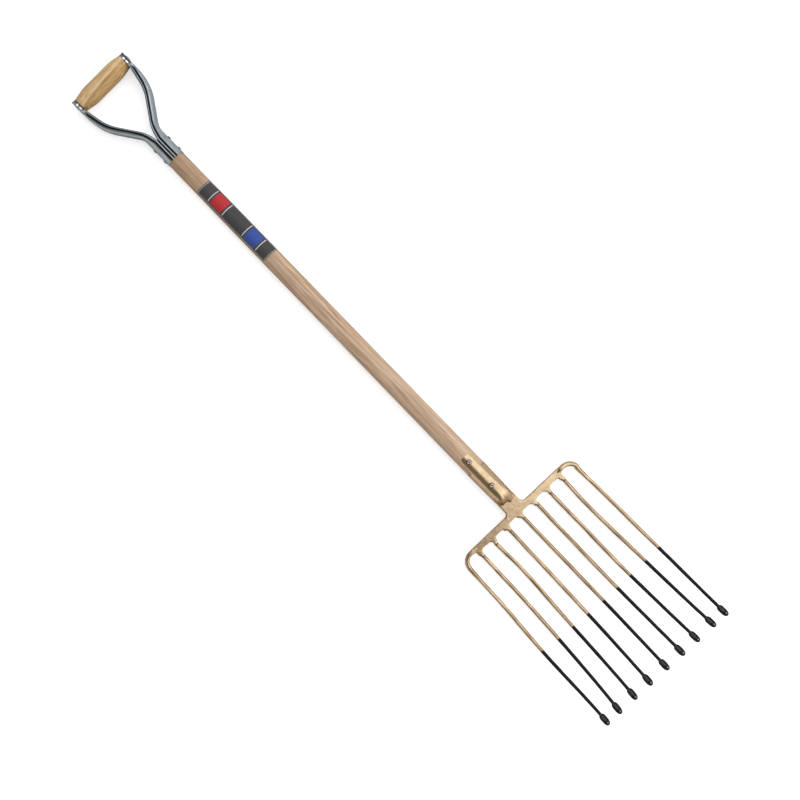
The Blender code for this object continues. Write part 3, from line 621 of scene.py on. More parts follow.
def weld(shape, reach=MERGE, slivers=False):
    """Join points that meet and turn the faces outwards. slivers also drops what this leaves flat."""
    bmesh.ops.remove_doubles(shape, verts=shape.verts, dist=reach)
    if slivers:
        bmesh.ops.dissolve_degenerate(shape, edges=shape.edges, dist=reach)
        loose = [vert for vert in shape.verts if not vert.link_faces]
        bmesh.ops.delete(shape, geom=loose, context="VERTS")
    bmesh.ops.recalc_face_normals(shape, faces=shape.faces)


def lathe(profile, down, axis, up):
    shape = bmesh.new()
    skin(shape, turned(profile, down, axis, up), caps=False)
    weld(shape)
    return shape


def thicken(made, thickness):
    sheet = made.modifiers.new("Sheet", "SOLIDIFY")
    sheet.thickness = thickness
    sheet.offset = -1


def skin(shape, rings, closed=True, caps=True):
    """Faces between rings of points, which are closed and have filled ends where asked."""
    rows = [[shape.verts.new(point) for point in ring] for ring in rings]
    count = len(rows[0])
    for row, following in zip(rows, rows[1:]):
        for i in range(count if closed else count - 1):
            j = (i + 1) % count
            shape.faces.new((row[i], row[j], following[j], following[i]))
    if closed and caps:
        shape.faces.new(reversed(rows[0]))
        shape.faces.new(rows[-1])
    return rows


def turned(profile, down, axis, up, steps=ROUND):
    """Rings about an axis through the shaft's axis, from (radius, distance along the axis) pairs."""
    center = on_fork(0, down, 0)
    side = axis.cross(up)
    rings = []
    for radius, along in profile:
        ring = []
        for angle in around(steps):
            out = up * cos(angle) + side * sin(angle)
            ring.append(center + axis * along + out * radius)
        rings.append(ring)
    return rings


ACROSS = Vector((1, 0, 0))
DOWNWARD = on_fork(0, 1, 0) - on_fork(0, 0, 0)
OUTWARD = on_fork(0, 0, 1) - on_fork(0, 0, 0)


def shaft_radius(down):
    plain = between(SHAFT_TOP_RADIUS, SHAFT_BOTTOM_RADIUS, share_of(down, FRAME_END_DOWN, RIM_DOWN))
    return plain + SHAFT_SWELL * smooth(down, *SWELL_DOWNS)


def rounded_path(corners):
    """Points along straight runs with rounded corners, from (x, down, radius) corners."""
    path = [Vector(corners[0][:2])]
    for before, corner, after in zip(corners, corners[1:], corners[2:]):
        point = Vector(corner[:2])
        arriving = (point - Vector(before[:2])).normalized()
        leaving = (Vector(after[:2]) - point).normalized()
        turn = arriving.angle_signed(leaving)
        start = point - arriving * corner[2] * tan(abs(turn) / 2)
        side = Vector((-arriving.y, arriving.x)) * (-1 if turn > 0 else 1)
        center = start + side * corner[2]
        for angle in spread(0, -turn, COARSE):
            path.append(center + Matrix.Rotation(angle, 2) @ (start - center))
    path.append(Vector(corners[-1][:2]))
    return path


def x_at(path, down):
    for first, second in zip(path, path[1:]):
        if first.y <= down <= second.y and second.y > first.y:
            return first.x + (second.x - first.x) * (down - first.y) / (second.y - first.y)
    return path[-1].x if down > path[-1].y else path[0].x


def frame_section(width, depth, corner_width, corner_depth, curl, dull, eye):
    """Half a channel section, from the middle of its web to its rolled bead.

    Each point is (inward, out, darkening), the darkening being painted shade in the valley beside the
    bead and on the bead's sides. curl is the size of the bead, dull the painted shade on its crest, and
    eye how far the face is dished, as it is round the eyes.
    """
    bead = BEAD_RADIUS * curl
    valley = width - 2 * bead - BEAD_GAP

    def face(inward):
        left = 1 - min(inward / corner_width, 1)
        plain = depth - corner_depth * (1 - sqrt(1 - left * left))
        reach = DISH_MIDDLE if inward < DISH_MIDDLE else width - DISH_MIDDLE
        aside = min(abs(inward - DISH_MIDDLE) / max(reach, MERGE), 1)
        rim = share_of(aside, EYE_RIM_START, 1)
        dished = depth - EYE_DISH * (1 - aside * aside) - EYE_RIM * rim * rim
        return between(plain, dished, eye)

    points = [(0, out, 0) for out in spread(0, depth - corner_depth, WEB_STEPS)[:-1]]
    for turn in spread(0, pi, VALLEY_STEPS):
        inward = valley * (1 - cos(turn)) / 2
        ease = smooth(inward, valley - BEAD_EASE, valley)
        # Painted shade in the valley beside the bead
        dark = smooth(inward, valley - BEAD_EASE - VALLEY_SHADE_REACH, valley - BEAD_EASE / 2)
        points.append((inward, face(inward) - BEAD_SINK * curl * ease, dark * curl))
    middle = face(width - bead) + BEAD_GAP * curl - bead
    for turn in spread(*BEAD_TURNS, BEAD_STEPS):
        angle = radians(turn) * curl
        # Painted shade on the bead's sides, and dull's painted shade on its crest
        edges = [smooth(side, *reach) for side, reach in zip((-angle, angle), BEAD_SIDE_SHADE)]
        inward = width - bead + bead * sin(angle)
        points.append((inward, middle + bead * cos(angle), curl * max(*edges, dull)))
    return points


def eye_shade_and_highlights(down, inward):
    """Painted shade round an eye, with two painted highlight spots, and less shade at the cap and rim.
    """
    painted_highlight = 0.0
    for spot_down, spot_inward, half_length, half_width in EYE_HIGHLIGHT_SPOTS:
        away = hypot((down - spot_down) / half_length, (inward - spot_inward) / half_width)
        painted_highlight = max(painted_highlight, 1 - smooth(away, *EYE_HIGHLIGHT_EDGE))
    dark = between(EYE_CAP_DARK, EYE_DARK, smooth(down, *EYE_CAP_DOWNS))
    dark = between(EYE_RIM_DARK, dark, smooth(inward, *EYE_RIM_WIDTHS))
    dark *= 1 - smooth(down, *EYE_DARK_DOWNS)
    return dark * (1 - painted_highlight), painted_highlight


def frame_rows():
    """Rows over one half of the frame: up its front edge, round the eye, down its back."""
    arm = [(FRAME_HALF, 0), (FRAME_HALF, *ARM_SHOULDER), (FRAME_SOCKET_RADIUS, *ARM_WAIST)]
    outer = rounded_path(arm + [(FRAME_SOCKET_RADIUS, FRAME_END_DOWN)])
    start = (EYE_INNER_X, GRIP_DOWN + GRIP_END_RADIUS)
    inner = rounded_path([start, INNER_SHOULDER, INNER_WAIST, (0, CROTCH_DOWN)])

    def section(down, back):
        closed = down > CROTCH_DOWN - MERGE
        blend = smooth(down, SOCKET_BLEND_DOWN, CROTCH_DOWN)
        edge = 0 if back and closed else max(x_at(inner, down), SEAM_GAP / 2)
        width = x_at(outer, down) - edge
        depth = between(ARM_DEPTH, FRAME_SOCKET_RADIUS, blend)
        corner_width = between(ARM_CORNER_WIDTH, width, blend)
        corner_depth = between(ARM_CORNER_DEPTH, depth, blend)
        plain = smooth(down, *EYE_END_DOWNS)
        curl = 1 - blend if back else plain
        # Painted shade on the bead's crest, fading out down the arm
        dull = ARM_CREST_SHADE * (1 - smooth(down, *ARM_CREST_SHADE_DOWNS))
        return frame_section(width, depth, corner_width, corner_depth, curl, dull, 1 - plain)

    downs = spread(GRIP_DOWN, FRAME_END_DOWN, round((FRAME_END_DOWN - GRIP_DOWN) / FRAME_STEP))
    front = [(x_at(outer, down), down, 0, 1) for down in reversed(downs)]
    eye = []
    for turn in spread(0, pi, EYE_STEPS)[1:-1]:
        out = copysign(abs(cos(turn)) ** EYE_SQUARENESS, cos(turn))
        eye.append((FRAME_HALF, GRIP_DOWN, sin(turn) ** EYE_SQUARENESS, out))
    back = [(x_at(outer, down), down, 0, -1) for down in downs]
    rows = []
    for x, down, up, out in front + eye + back:
        points = section(down, out == -1)
        rows.append([(x - i, down - o * up, o * out, g) for i, o, g in points])
    return rows


def make_frame(finish):
    """The pressed sheet with its rolled beads, thickened inwards."""
    shape = bmesh.new()
    stain_and_shade = shape.verts.layers.float.new("stain_and_shade")
    painted_highlight = shape.verts.layers.float.new("painted_highlight")
    rows = frame_rows()
    for side in (1, -1):
        rings = [[on_fork(side * x, down, z) for x, down, z, dark in row] for row in rows]
        for verts, row in zip(skin(shape, rings, closed=False), rows):
            for vert, (x, down, z, dark) in zip(verts, row):
                # Painted shade round the eyes, and painted highlight spots in their dish
                eye_dark, vert[painted_highlight] = eye_shade_and_highlights(down, FRAME_HALF - x)
                vert[stain_and_shade] = max(dark, eye_dark)
    weld(shape, slivers=True)
    thicken(piece("frame_skin", shape, [finish], "grip_frame"), FRAME_SHEET)


def make_grip(finish):
    """The turned barrel, with slightly rounded ends against the eyes."""
    end = GRIP_END_X - GRIP_EDGE
    half = [(0, GRIP_END_X), (GRIP_END_RADIUS - GRIP_EDGE, GRIP_END_X), (GRIP_END_RADIUS, end)]
    for share in spread(1, 0, GRIP_STEPS)[1:]:
        radius = between(GRIP_RADIUS, GRIP_END_RADIUS, share**GRIP_POWER)
        half.append((radius, between(GRIP_STRAIGHT, end, share)))
    profile = half + [(radius, -along) for radius, along in reversed(half)]
    piece("grip_barrel", lathe(profile, GRIP_DOWN, ACROSS, OUTWARD), [finish], "hand_grip")


def dome(radius, height, start, dimple=0.0):
    """A low domed head's profile from its middle to its rim. dimple is the share of it that is sunk."""
    profile = []
    for a in quarter(FEW):
        lift = height * (DIMPLE_LEVEL if sin(a) < dimple else 1.0)
        profile.append((radius * sin(a), start + lift * cos(a)))
    return profile


def make_pin(name, node, finish, down, axes, half, heads, shank, crown=0.0, dimple=0.0):
    """A rivet or a peened rod: a shank with a domed head at each end, with painted shade at its rim.

    axes is the way it points and a way across it, and crown how much the top of the head is darkened.
    The hollow of a dimple is painted shade.
    """
    (radius, height), (tail_radius, tail_height) = heads
    profile = dome(radius, height, half, dimple) + [(shank, half), (shank, -half)]
    profile += [(reach, -along) for reach, along in reversed(dome(tail_radius, tail_height, half))]
    shape = bmesh.new()
    stain_and_shade = shape.verts.layers.float.new("stain_and_shade")
    rows = skin(shape, turned(profile, down, *axes, PIN_SIDES), caps=False)
    for row, (reach, along) in zip(rows, profile):
        for vert in row:
            # Painted shade in the dimple's hollow and at each head's rim; crown darkens the rest of the
            # top
            hollow = 1.0 if dimple and along > 0 and reach < radius * dimple else crown
            vert[stain_and_shade] = between(hollow, 1, smooth(reach / radius, *PIN_RIM_SHADE))
    weld(shape)
    piece(name, shape, [finish], node)


def seat_profile(play):
    """The shaft's tapered end in the head's socket, as (radius, down), with some play round it."""
    taper_end = BORE_END_DOWN - SHAFT_POINT_LENGTH
    profile = [(SOCKET_BORE - play, RIM_DOWN), (NOSE_BORE - play, taper_end)]
    return profile + [(SHAFT_POINT_RADIUS, BORE_END_DOWN), (0, BORE_END_DOWN)]


def make_shaft(finish):
    start = FRAME_END_DOWN + SHAFT_EDGE_LENGTH
    profile = [(0, TENON_DOWN), (TENON_RADIUS, TENON_DOWN), (TENON_RADIUS, FRAME_END_DOWN)]
    profile.append((SHAFT_TOP_RADIUS - SHAFT_EDGE, FRAME_END_DOWN))
    profile += [(shaft_radius(down), down) for down in spread(start, RIM_DOWN, SHAFT_STEPS)]
    shape = lathe(profile + seat_profile(PLAY), 0, DOWNWARD, OUTWARD)
    piece("shaft_wood", shape, [finish], "shaft")


def label_film_at(across, along, width):
    """The number of the film at a place on the label: its keyline, one of its bands or its ground."""
    from_side = min(across, width - across)
    if LABEL_RIM < min(from_side, along, LABEL_LENGTH - along) < LABEL_RIM + LABEL_LINE:
        return PALE
    if from_side > LABEL_SIDE:
        for start, end, number in LABEL_BANDS:
            if start < along < end:
                return number
    return 0


def label_places(length, near, between):
    """Where the label's mesh is divided: at the keyline, at places near both ends and between them."""
    ends = {0.0, LABEL_RIM, LABEL_RIM + LABEL_LINE} | near
    return sorted(ends | {length - place for place in ends} | between)


def make_label(finishes):
    """The sticker: a dark film with a keyline and plain bands, bent round the front of the shaft."""
    bend = shaft_radius(LABEL_DOWN + LABEL_LENGTH / 2)
    width = bend * LABEL_WRAP
    corner = {LABEL_CORNER * (1 - cos(a)) for a in quarter(8)}
    acrosses = label_places(width, corner | {LABEL_SIDE}, set(spread(0, width, LABEL_STEPS)))
    bands_at = {place for band in LABEL_BANDS for place in band[:2]}
    alongs = label_places(LABEL_LENGTH, {LABEL_CORNER}, bands_at)
    shape = bmesh.new()
    columns = []
    for across in acrosses:
        short = max(LABEL_CORNER - across, LABEL_CORNER - (width - across), 0.0)
        inset = LABEL_CORNER - sqrt(max(LABEL_CORNER**2 - short**2, 0.0))
        angle = LABEL_EDGE + across / bend
        column = []
        for along in alongs:
            down = LABEL_DOWN + min(max(along, inset), LABEL_LENGTH - inset)
            radius = shaft_radius(down) + LABEL_LIFT
            column.append(shape.verts.new(on_fork(radius * sin(angle), down, radius * cos(angle))))
        columns.append(column)
    for i, (left, right) in enumerate(zip(columns, columns[1:])):
        for j in range(len(alongs) - 1):
            sides = [(column[j].co - column[j + 1].co).length for column in (left, right)]
            if max(sides) < MERGE:
                continue
            face = shape.faces.new((left[j], left[j + 1], right[j + 1], right[j]))
            across = (acrosses[i] + acrosses[i + 1]) / 2
            face.material_index = label_film_at(across, (alongs[j] + alongs[j + 1]) / 2, width)
    weld(shape, MERGE / 2, slivers=True)
    thicken(piece("label_sheet", shape, finishes, "label_band"), LABEL_LIFT - LABEL_GLUE)


def plate_z(down):
    return ROOT_Z + (ROOT_DOWN - down) * tan(ROOT_SLOPE)


def socket_ring(down):
    """One section of the forged socket, as points (x, z) round it.

    Its ridge ends in a nose on the neck, blunt on the left and sinking gently on the right.
    """
    nose_start = NOSE_DOWN - NOSE_LENGTH
    heel_start = nose_start - NOSE_LENGTH / 2
    radius = between(SOCKET_RADIUS, NOSE_RADIUS, share_of(down, RIM_DOWN, nose_start))
    heel = smooth(down, heel_start, heel_start + HEEL_LENGTH)
    flat = smooth(down, heel_start, NOSE_DOWN - NOSE_LENGTH / 4)
    buried = PLATE_THICKNESS / 2 - PLAY
    half_width = between(radius, NECK_HALF - PLAY, heel)
    middle = plate_z(down) * flat
    base = middle + buried * flat
    back = between(-radius, plate_z(down) - buried, heel)
    points = []
    for angle in around(ROUND):
        x = half_width * cos(angle)
        if sin(angle) > 0:
            aside = smooth(x, 0, NOSE_SIDE_REACH)
            start = nose_start - NOSE_EARLY - NOSE_SIDE_EARLY * aside
            end = NOSE_DOWN + NOSE_SIDE_LATE * aside
            fall = share_of(down, start, end) ** between(NOSE_POWER, NOSE_SIDE_POWER, aside)
            kept = (1 - fall) ** between(NOSE_FOOT, NOSE_SIDE_FOOT, aside)
            lag = SQUARE_LAG * (1 - aside)
            square = between(2, SQUARENESS, smooth(down - lag, *SQUARE_DOWNS))
            ridge_half = radius if x > 0 else max(radius * kept**NOSE_NARROWING, RIDGE_LEAST)
            bulge = max(1 - abs(x / ridge_half) ** square, 0.0) ** (1 / square)
            foot = min(RIDGE_FOOT * sin(angle), 1.0)
            z = between(middle, base, foot) + (radius - base) * kept * bulge
        else:
            z = middle + (middle - back) * sin(angle)
        points.append((x, z))
    return points


def prism(name, outline, place, reach):
    """A flat outline of (x, y) points, given a thickness to both sides, and placed by a function."""
    shape = bmesh.new()
    skin(shape, [[place(x, y, height) for x, y in outline] for height in (-reach, reach)])
    weld(shape)
    return add_mesh(name, shape)


def baked(made, helpers=()):
    """An object's mesh with its modifiers, as a new bmesh. The object and its helpers are removed."""
    bpy.context.view_layer.update()
    graph = bpy.context.evaluated_depsgraph_get()
    shape = bmesh.new()
    shape.from_mesh(bpy.data.meshes.new_from_object(made.evaluated_get(graph)))
    for item in (made, *helpers):
        bpy.data.objects.remove(item, do_unlink=True)
    return shape


def both_sides(half):
    return half + [(-x, y) for x, y in reversed(half)]


def rim_outline(top):
    """What is cut away beside the tongues, as (x, y) with y = -down."""
    half = [(CUT_HALF, -top), (CUT_HALF, -RIM_DOWN)]
    half += arc(TONGUE_HALF + RIM_FILLET, RIM_FILLET - RIM_DOWN, RIM_FILLET, 270, 180)
    half += arc(TONGUE_HALF - TONGUE_CORNER, -TONGUE_TOP_DOWN - TONGUE_CORNER, TONGUE_CORNER, 0, 90)
    return both_sides(half)


def plate_outline():
    """Neck, bar and teeth in the plate's own plane, with y = 0 at the ends of the teeth."""
    edge = TOOTH_LENGTH + BAR_HEIGHT
    half = [(NECK_HALF, edge + NECK_LENGTH + NECK_ROOT)]
    half += arc(NECK_HALF + NECK_FILLET, edge + NECK_FILLET, NECK_FILLET, 180, 270)
    half += [(BAR_HALF, edge)]
    teeth = (TINE_COUNT - 3) // 2
    last = teeth * TINE_PITCH + TOOTH_HALF
    corner = BAR_HALF - last
    half += arc(BAR_HALF, edge - BAR_END_HEIGHT - corner, corner, 90, 180)
    half += [(last, 0)]
    for tooth in range(teeth, 0, -1):
        left = tooth * TINE_PITCH - TOOTH_HALF
        right = (tooth - 1) * TINE_PITCH + TOOTH_HALF
        half += [(left, 0)]
        for center, start in ((left - TOOTH_FILLET, 0), (right + TOOTH_FILLET, 90)):
            half += arc(center, TOOTH_LENGTH - TOOTH_FILLET, TOOTH_FILLET, start, start + 90)
        half += [(right, 0)]
    return both_sides(half)


def on_plate(x, y, height):
    """A place on the head's plate, from the ends of its teeth up the fork."""
    return on_fork(
        x,
        ROOT_DOWN - y * cos(ROOT_SLOPE) + height * sin(ROOT_SLOPE),
        ROOT_Z + y * sin(ROOT_SLOPE) + height * cos(ROOT_SLOPE),
    )


def sway(number, run):
    """How far a tine swings aside at a run along it. No two are bent alike."""
    places = [share * TINE_LENGTH for share in SWAY_SHARES]
    knots = list(zip(places, TINE_SWAYS[number - 1]))
    for (start, first), (end, last) in zip(knots, knots[1:]):
        if run <= end:
            break
    return between(first, last, smooth(run, start, end)) / 1000


def tine_place(number):
    """How many pitches a tine stands to the right of the middle one."""
    return number - (TINE_COUNT + 1) / 2


def weld_lumps():
    """Lumps of weld metal in the plate, as (x, y, half width, half length, half height)."""
    lumps = []
    for number in range(2, TINE_COUNT):
        lumps.append((tine_place(number) * TINE_PITCH + sway(number, 0), TOOTH_BEAD_UP, *TOOTH_BEAD))
    for number, *sizes in TOOTH_LUMPS:
        aside, up, half_width, half_length = [size / 1000 for size in sizes]
        x = tine_place(number) * TINE_PITCH + aside
        lumps.append((x, up, half_width, half_length, PLATE_THICKNESS / 2))
    for side in (-1, 1):
        lumps.append((side * (BAR_HALF - END_BEAD_INSET), BAR_END_MIDDLE, *END_BEAD))
    return lumps


def head_solid():
    """The socket run together with the plate, bored, and cut back to its rim beside the tongues."""
    start = NOSE_DOWN - NOSE_LENGTH
    end = NOSE_DOWN - NOSE_LENGTH * 1.5 + HEEL_LENGTH
    mouth = TONGUE_TOP_DOWN - MOUTH_LENGTH
    downs = [(mouth + TONGUE_TOP_DOWN) / 2] + spread(RIM_DOWN, start, COARSE)[:-1]
    downs += [NOSE_DOWN - NOSE_LENGTH * cos(a) for a in quarter(NOSE_STEPS)]
    downs += spread(NOSE_DOWN, end, HEEL_STEPS)[1:]
    shape = bmesh.new()
    skin(shape, [[on_fork(x, down, z) for x, z in socket_ring(down)] for down in downs])
    weld(shape)
    head = add_mesh("head_body", shape)
    bore = [(0, mouth), (SOCKET_BORE, mouth)] + seat_profile(0)
    helpers = [
        prism("head_plate", plate_outline(), on_plate, PLATE_THICKNESS / 2),
        add_mesh("head_bore", lathe(bore, 0, DOWNWARD, OUTWARD)),
        prism("head_rim", rim_outline(mouth), lambda x, y, z: on_fork(x, -y, z), CUT_REACH),
    ]
    for helper, operation in zip(helpers, ("UNION", "DIFFERENCE", "DIFFERENCE")):
        step = head.modifiers.new(operation.title(), "BOOLEAN")
        step.operation = operation
        step.solver = "EXACT"
        step.object = helper
    return baked(head, helpers)


def forged(shape):
    """A body with its lumps of weld metal, melted together and softened."""
    slope = Matrix.Rotation(LYING_TILT + ROOT_SLOPE, 4, "X")
    for x, y, *radii in weld_lumps():
        place = Matrix.Translation(on_plate(x, y, 0)) @ slope @ Matrix.Diagonal((*radii, 1))
        bmesh.ops.create_icosphere(shape, subdivisions=3, radius=1, matrix=place)
    lumpy = add_mesh("head_lumps", shape)
    remesh = lumpy.modifiers.new("Forged", "REMESH")
    remesh.mode = "VOXEL"
    remesh.voxel_size = HEAD_VOXEL
    soften = lumpy.modifiers.new("Soften", "SMOOTH")
    soften.factor = 0.5
    soften.iterations = SOFTENINGS
    return baked(lumpy)


def make_crosshead(finish):
    """Socket, neck and toothed bar, with painted shade on the plate's side faces, round the rivets and
    along the rim, and with a hammered surface.
    """
    shape = forged(head_solid())
    shape.normal_update()
    stain_and_shade = shape.verts.layers.float.new("stain_and_shade")
    upright = LYING.inverted()
    for vert in shape.verts:
        place = upright @ vert.co
        down = MIDDLE_DOWN - place.y
        # Painted shade on the plate's side faces, in a ring round each rivet and in a line along the
        # rim
        plate = smooth(down - NOSE_DOWN, *PLATE_START)
        edge = 1 - smooth(abs(vert.normal.dot(OUTWARD)), *PLATE_EDGE_TILTS)
        away = min(hypot(place.x, down - rivet) for rivet in SOCKET_RIVET_DOWNS)
        ring = 1 - smooth(away - SOCKET_RIVET_RADIUS, 0, RIVET_SHADE_REACH)
        rim = 1 - smooth(down - RIM_DOWN, 0, RIM_SHADE_REACH) if abs(place.x) > TONGUE_HALF else 0
        vert[stain_and_shade] = max(PLATE_EDGE_SHADE * edge * plate, ring, RIM_SHADE * rim)
        broad, fine = [noise.noise(vert.co * scale) for scale in HAMMERED_SCALES]
        depth = HAMMERED * between(HAMMERED_SOCKET, 1, plate)
        vert.co += vert.normal * depth * (broad + HAMMERED_FINE * fine)
    piece("forged_head", shape, [finish], "crosshead")


def on_tine_sheet(x, run):
    """A place on the curved sheet that the tines lie in, at a run along it from the tooth ends."""
    if run <= 0:
        return (x, ROOT_DOWN + run * cos(ROOT_SLOPE), ROOT_Z - run * sin(ROOT_SLOPE))
    angle = run / ARC_RADIUS - ROOT_SLOPE
    return (x, BELLY_DOWN + ARC_RADIUS * sin(angle), BELLY_Z + ARC_RADIUS * (1 - cos(angle)))


def knob_share(run):
    return (run - TINE_LENGTH + KNOB_LENGTH) / KNOB_LENGTH


def tine_radius(run):
    rod = between(TINE_ROOT_RADIUS, TINE_TIP_RADIUS, share_of(run, TAPER_START, TINE_LENGTH))
    share = knob_share(run)
    if share < 0:
        return rod
    power = KNOB_POWER if share > 0.5 else SHOULDER_POWER
    knob = KNOB_RADIUS * sqrt(max(1 - abs(2 * share - 1) ** power, 0.0))
    return knob if share > 0.5 else max(rod, knob)


def bend_stations():
    """An outer tine's lap on the end of the bar and its bend, as (x, run, radius, scorch)."""
    thick = TINE_ROOT_RADIUS + BEND_EXTRA
    stations = []
    for share in LAP_SHARES:
        x = BAR_HALF - LAP_LENGTH * (1 - share)
        radius = thick * between(LAP_END, 1, share**0.5)
        stations.append((x, -BAR_END_MIDDLE, radius, LAP_SCORCH * share * (1 - share)))
    center = tine_place(TINE_COUNT) * TINE_PITCH - BEND_RADIUS
    for angle in quarter(COARSE)[:-1]:
        run = BEND_RADIUS * (1 - cos(angle)) - BAR_END_MIDDLE
        stations.append((center + BEND_RADIUS * sin(angle), run, thick, 0))
    return stations


def tine_stations(number):
    """Places down one tine as (x, run, radius, scorch), x being None where the tine runs lengthwise."""
    outer = number in (1, TINE_COUNT)
    stations = bend_stations() if outer else []
    start = BEND_RADIUS - BAR_END_MIDDLE if outer else PLAY
    dip_down = DIP_DOWN + DIP_SHIFTS[number - 1] / 1000
    dip_run = (asin((dip_down - BELLY_DOWN) / ARC_RADIUS) + ROOT_SLOPE) * ARC_RADIUS
    runs = spread(start, dip_run, round((dip_run - start) / TINE_STEP))
    if not outer:
        scorched = spread(start, start + SCORCH_RUN, SCORCH_STEPS)
        runs = scorched + [run for run in runs if run > scorched[-1]]
    runs.append(dip_run + DIP_EDGE)
    coated = dip_run + 2 * DIP_EDGE
    knob = TINE_LENGTH - KNOB_LENGTH
    runs += spread(coated, knob, round((knob - dip_run) / TINE_STEP))[:-1]
    turns = spread(0, pi, KNOB_STEPS)[:-1]
    runs += [TINE_LENGTH - KNOB_LENGTH * (1 + cos(turn)) / 2 for turn in turns]
    for run in runs:
        radius = tine_radius(run)
        if outer:
            radius += BEND_EXTRA * (1 - smooth(run, start, start + BEND_BLEND))
        scorch = 0 if outer else 1 - smooth(run, SCORCH_RUN * SCORCH_FULL, SCORCH_RUN)
        stations.append((None, run, radius, scorch))
    return stations, dip_run


def tine_middles(number, stations):
    """The middle of a tine at its stations, with its flare and its own bends."""
    outer = number in (1, TINE_COUNT)
    place = tine_place(number)
    side = copysign(1, place)
    root_x = abs(place) * TINE_PITCH
    tip_x = abs(place) * TIP_PITCH - (OUTER_TIP_INSET if outer else 0)
    power = OUTER_FLARE_POWER if outer else FLARE_POWER
    middles = []
    for x, run, radius, scorch in stations:
        if x is None:
            x = between(root_x, tip_x, (max(run, 0) / TINE_LENGTH) ** power)
            x += side * sway(number, run)
        middles.append(on_fork(*on_tine_sheet(side * x, run)))
    return middles


def knob_highlight(run, radius, aside):
    """How much painted highlight a knob gets along its upper and under crest, and as a spot near its
    tip.

    aside is how far to the right a point stands, as a share of the radius.
    """
    share = knob_share(run)
    if share < 0:
        return 0.0
    lift = sqrt(max(1 - aside * aside, 0.0))
    crest_highlight = KNOB_CREST_HIGHLIGHT * smooth(lift, *KNOB_HIGHLIGHT_LIFTS)
    crest_highlight *= 1 - smooth(share, *KNOB_HIGHLIGHT_SHARES)
    place, right, reach = KNOB_HIGHLIGHT_SPOT
    away = hypot((share - place) * KNOB_LENGTH, radius * aside - right)
    return max(crest_highlight, 1 - smooth(away, reach / 2, reach))


def make_tine(number, finishes):
    """One rod with its knob, gold to the dip's edge and black beyond it."""
    stations, dip_run = tine_stations(number)
    middles = tine_middles(number, stations)
    turns = around(COARSE)
    apart = Vector((number, 0, 0))
    rings = []
    for i, (center, (x, run, radius, scorch)) in enumerate(zip(middles, stations)):
        along = (middles[min(i + 1, len(middles) - 1)] - middles[max(i - 1, 0)]).normalized()
        cross = along.cross(OUTWARD).normalized()
        up = cross.cross(along)
        ring = []
        for turn in turns:
            out = cross * cos(turn) + up * sin(turn)
            uneven = noise.noise((center + out * UNEVEN_SPREAD) * UNEVEN_SCALE + apart * 5)
            ring.append(center + out * radius * (1 + UNEVEN_ROD * uneven))
        rings.append(ring)
    shape = bmesh.new()
    stain_and_shade = shape.verts.layers.float.new("stain_and_shade")
    painted_highlight = shape.verts.layers.float.new("painted_highlight")
    rows = skin(shape, rings)
    for row, center, (x, run, radius, scorch) in zip(rows, middles, stations):
        stain = smooth(noise.noise(center * STAIN_SCALE + apart * 7), 0.0, 0.5)
        brown = max(scorch, ROD_STAIN * stain, ROD_BROWN * smooth(run, *ROD_BROWN_RUNS))
        for vert, turn in zip(row, turns):
            # Painted shade darkens each rod's flanks, more where the stain is
            flank = 1 - smooth(abs(sin(turn)), *SIDE_LIFTS)
            vert[stain_and_shade] = max(brown, FLANK_SHADE * (0.5 + stain) * flank)
            # Painted highlights on the knobs
            vert[painted_highlight] = knob_highlight(run, radius, -cos(turn))
    black = {vert for row, station in zip(rows, stations) if station[1] >= dip_run for vert in row}
    for face in shape.faces:
        face.material_index = int(all(vert in black for vert in face.verts))
    piece("tine_rod_%d" % number, shape, finishes, "tine_%d" % number)


# The pieces

gold = lacquered_steel("gold_lacquer", 0.25)
rod_gold = lacquered_steel("gold_rods", 0.08, dented=True)
dip = black_dip()
zinc = galvanised_steel()
steel = bright_steel()
ash_tones = ((0.73, 0.54, 0.385), (0.6, 0.425, 0.285), (0.36, 0.22, 0.13))
ash = wood("ash_shaft", (1.0, 0.03, 1.0), ash_tones, 0.5, top_shade=TOP_SHADE)
barrel_tones = ((0.9, 0.68, 0.4), (0.68, 0.46, 0.22), (0.42, 0.24, 0.09))
barrel = wood("grip_wood", (0.075, 1.7, 1.7), barrel_tones, 0.42, heart=True)
films = [
    film("label_film", (0.068, 0.064, 0.064)),
    film("label_pale", (0.7, 0.7, 0.7)),
    film("label_red", (0.52, 0.035, 0.04)),
    film("label_blue", (0.045, 0.09, 0.36)),
]

make_frame(zinc)
make_grip(barrel)
make_shaft(ash)
make_label(films)
make_crosshead(gold)
sideways = (ACROSS, OUTWARD)
make_pin("grip_pin", "grip_rod", steel, GRIP_DOWN, sideways,
         FRAME_HALF + PLAY, (ROD_HEAD, ROD_HEAD), ROD_RADIUS)
heads = (FRAME_RIVET_HEAD, FRAME_RIVET_HEAD)
for label, down in zip(("upper", "lower"), FRAME_RIVET_DOWNS):
    make_pin("frame_pin_" + label, "frame_rivet_" + label, zinc, down, sideways,
             FRAME_SOCKET_RADIUS + PLAY, heads, FRAME_RIVET_RADIUS, crown=FRAME_RIVET_DULL)
heads = ((SOCKET_RIVET_RADIUS, SOCKET_RIVET_HEIGHT), (SOCKET_RIVET_RADIUS, SOCKET_RIVET_TAIL))
for label, down in zip(("upper", "lower"), SOCKET_RIVET_DOWNS):
    make_pin("socket_pin_" + label, "socket_rivet_" + label, steel, down,
             (OUTWARD, ACROSS), SOCKET_RADIUS + PLAY, heads, SOCKET_RIVET_SHANK, dimple=RIVET_DIMPLE)
for number in range(1, TINE_COUNT + 1):
    make_tine(number, [rod_gold, dip])

# Studio: a plain pale floor, whose lift fades to white far away, and four soft lamps

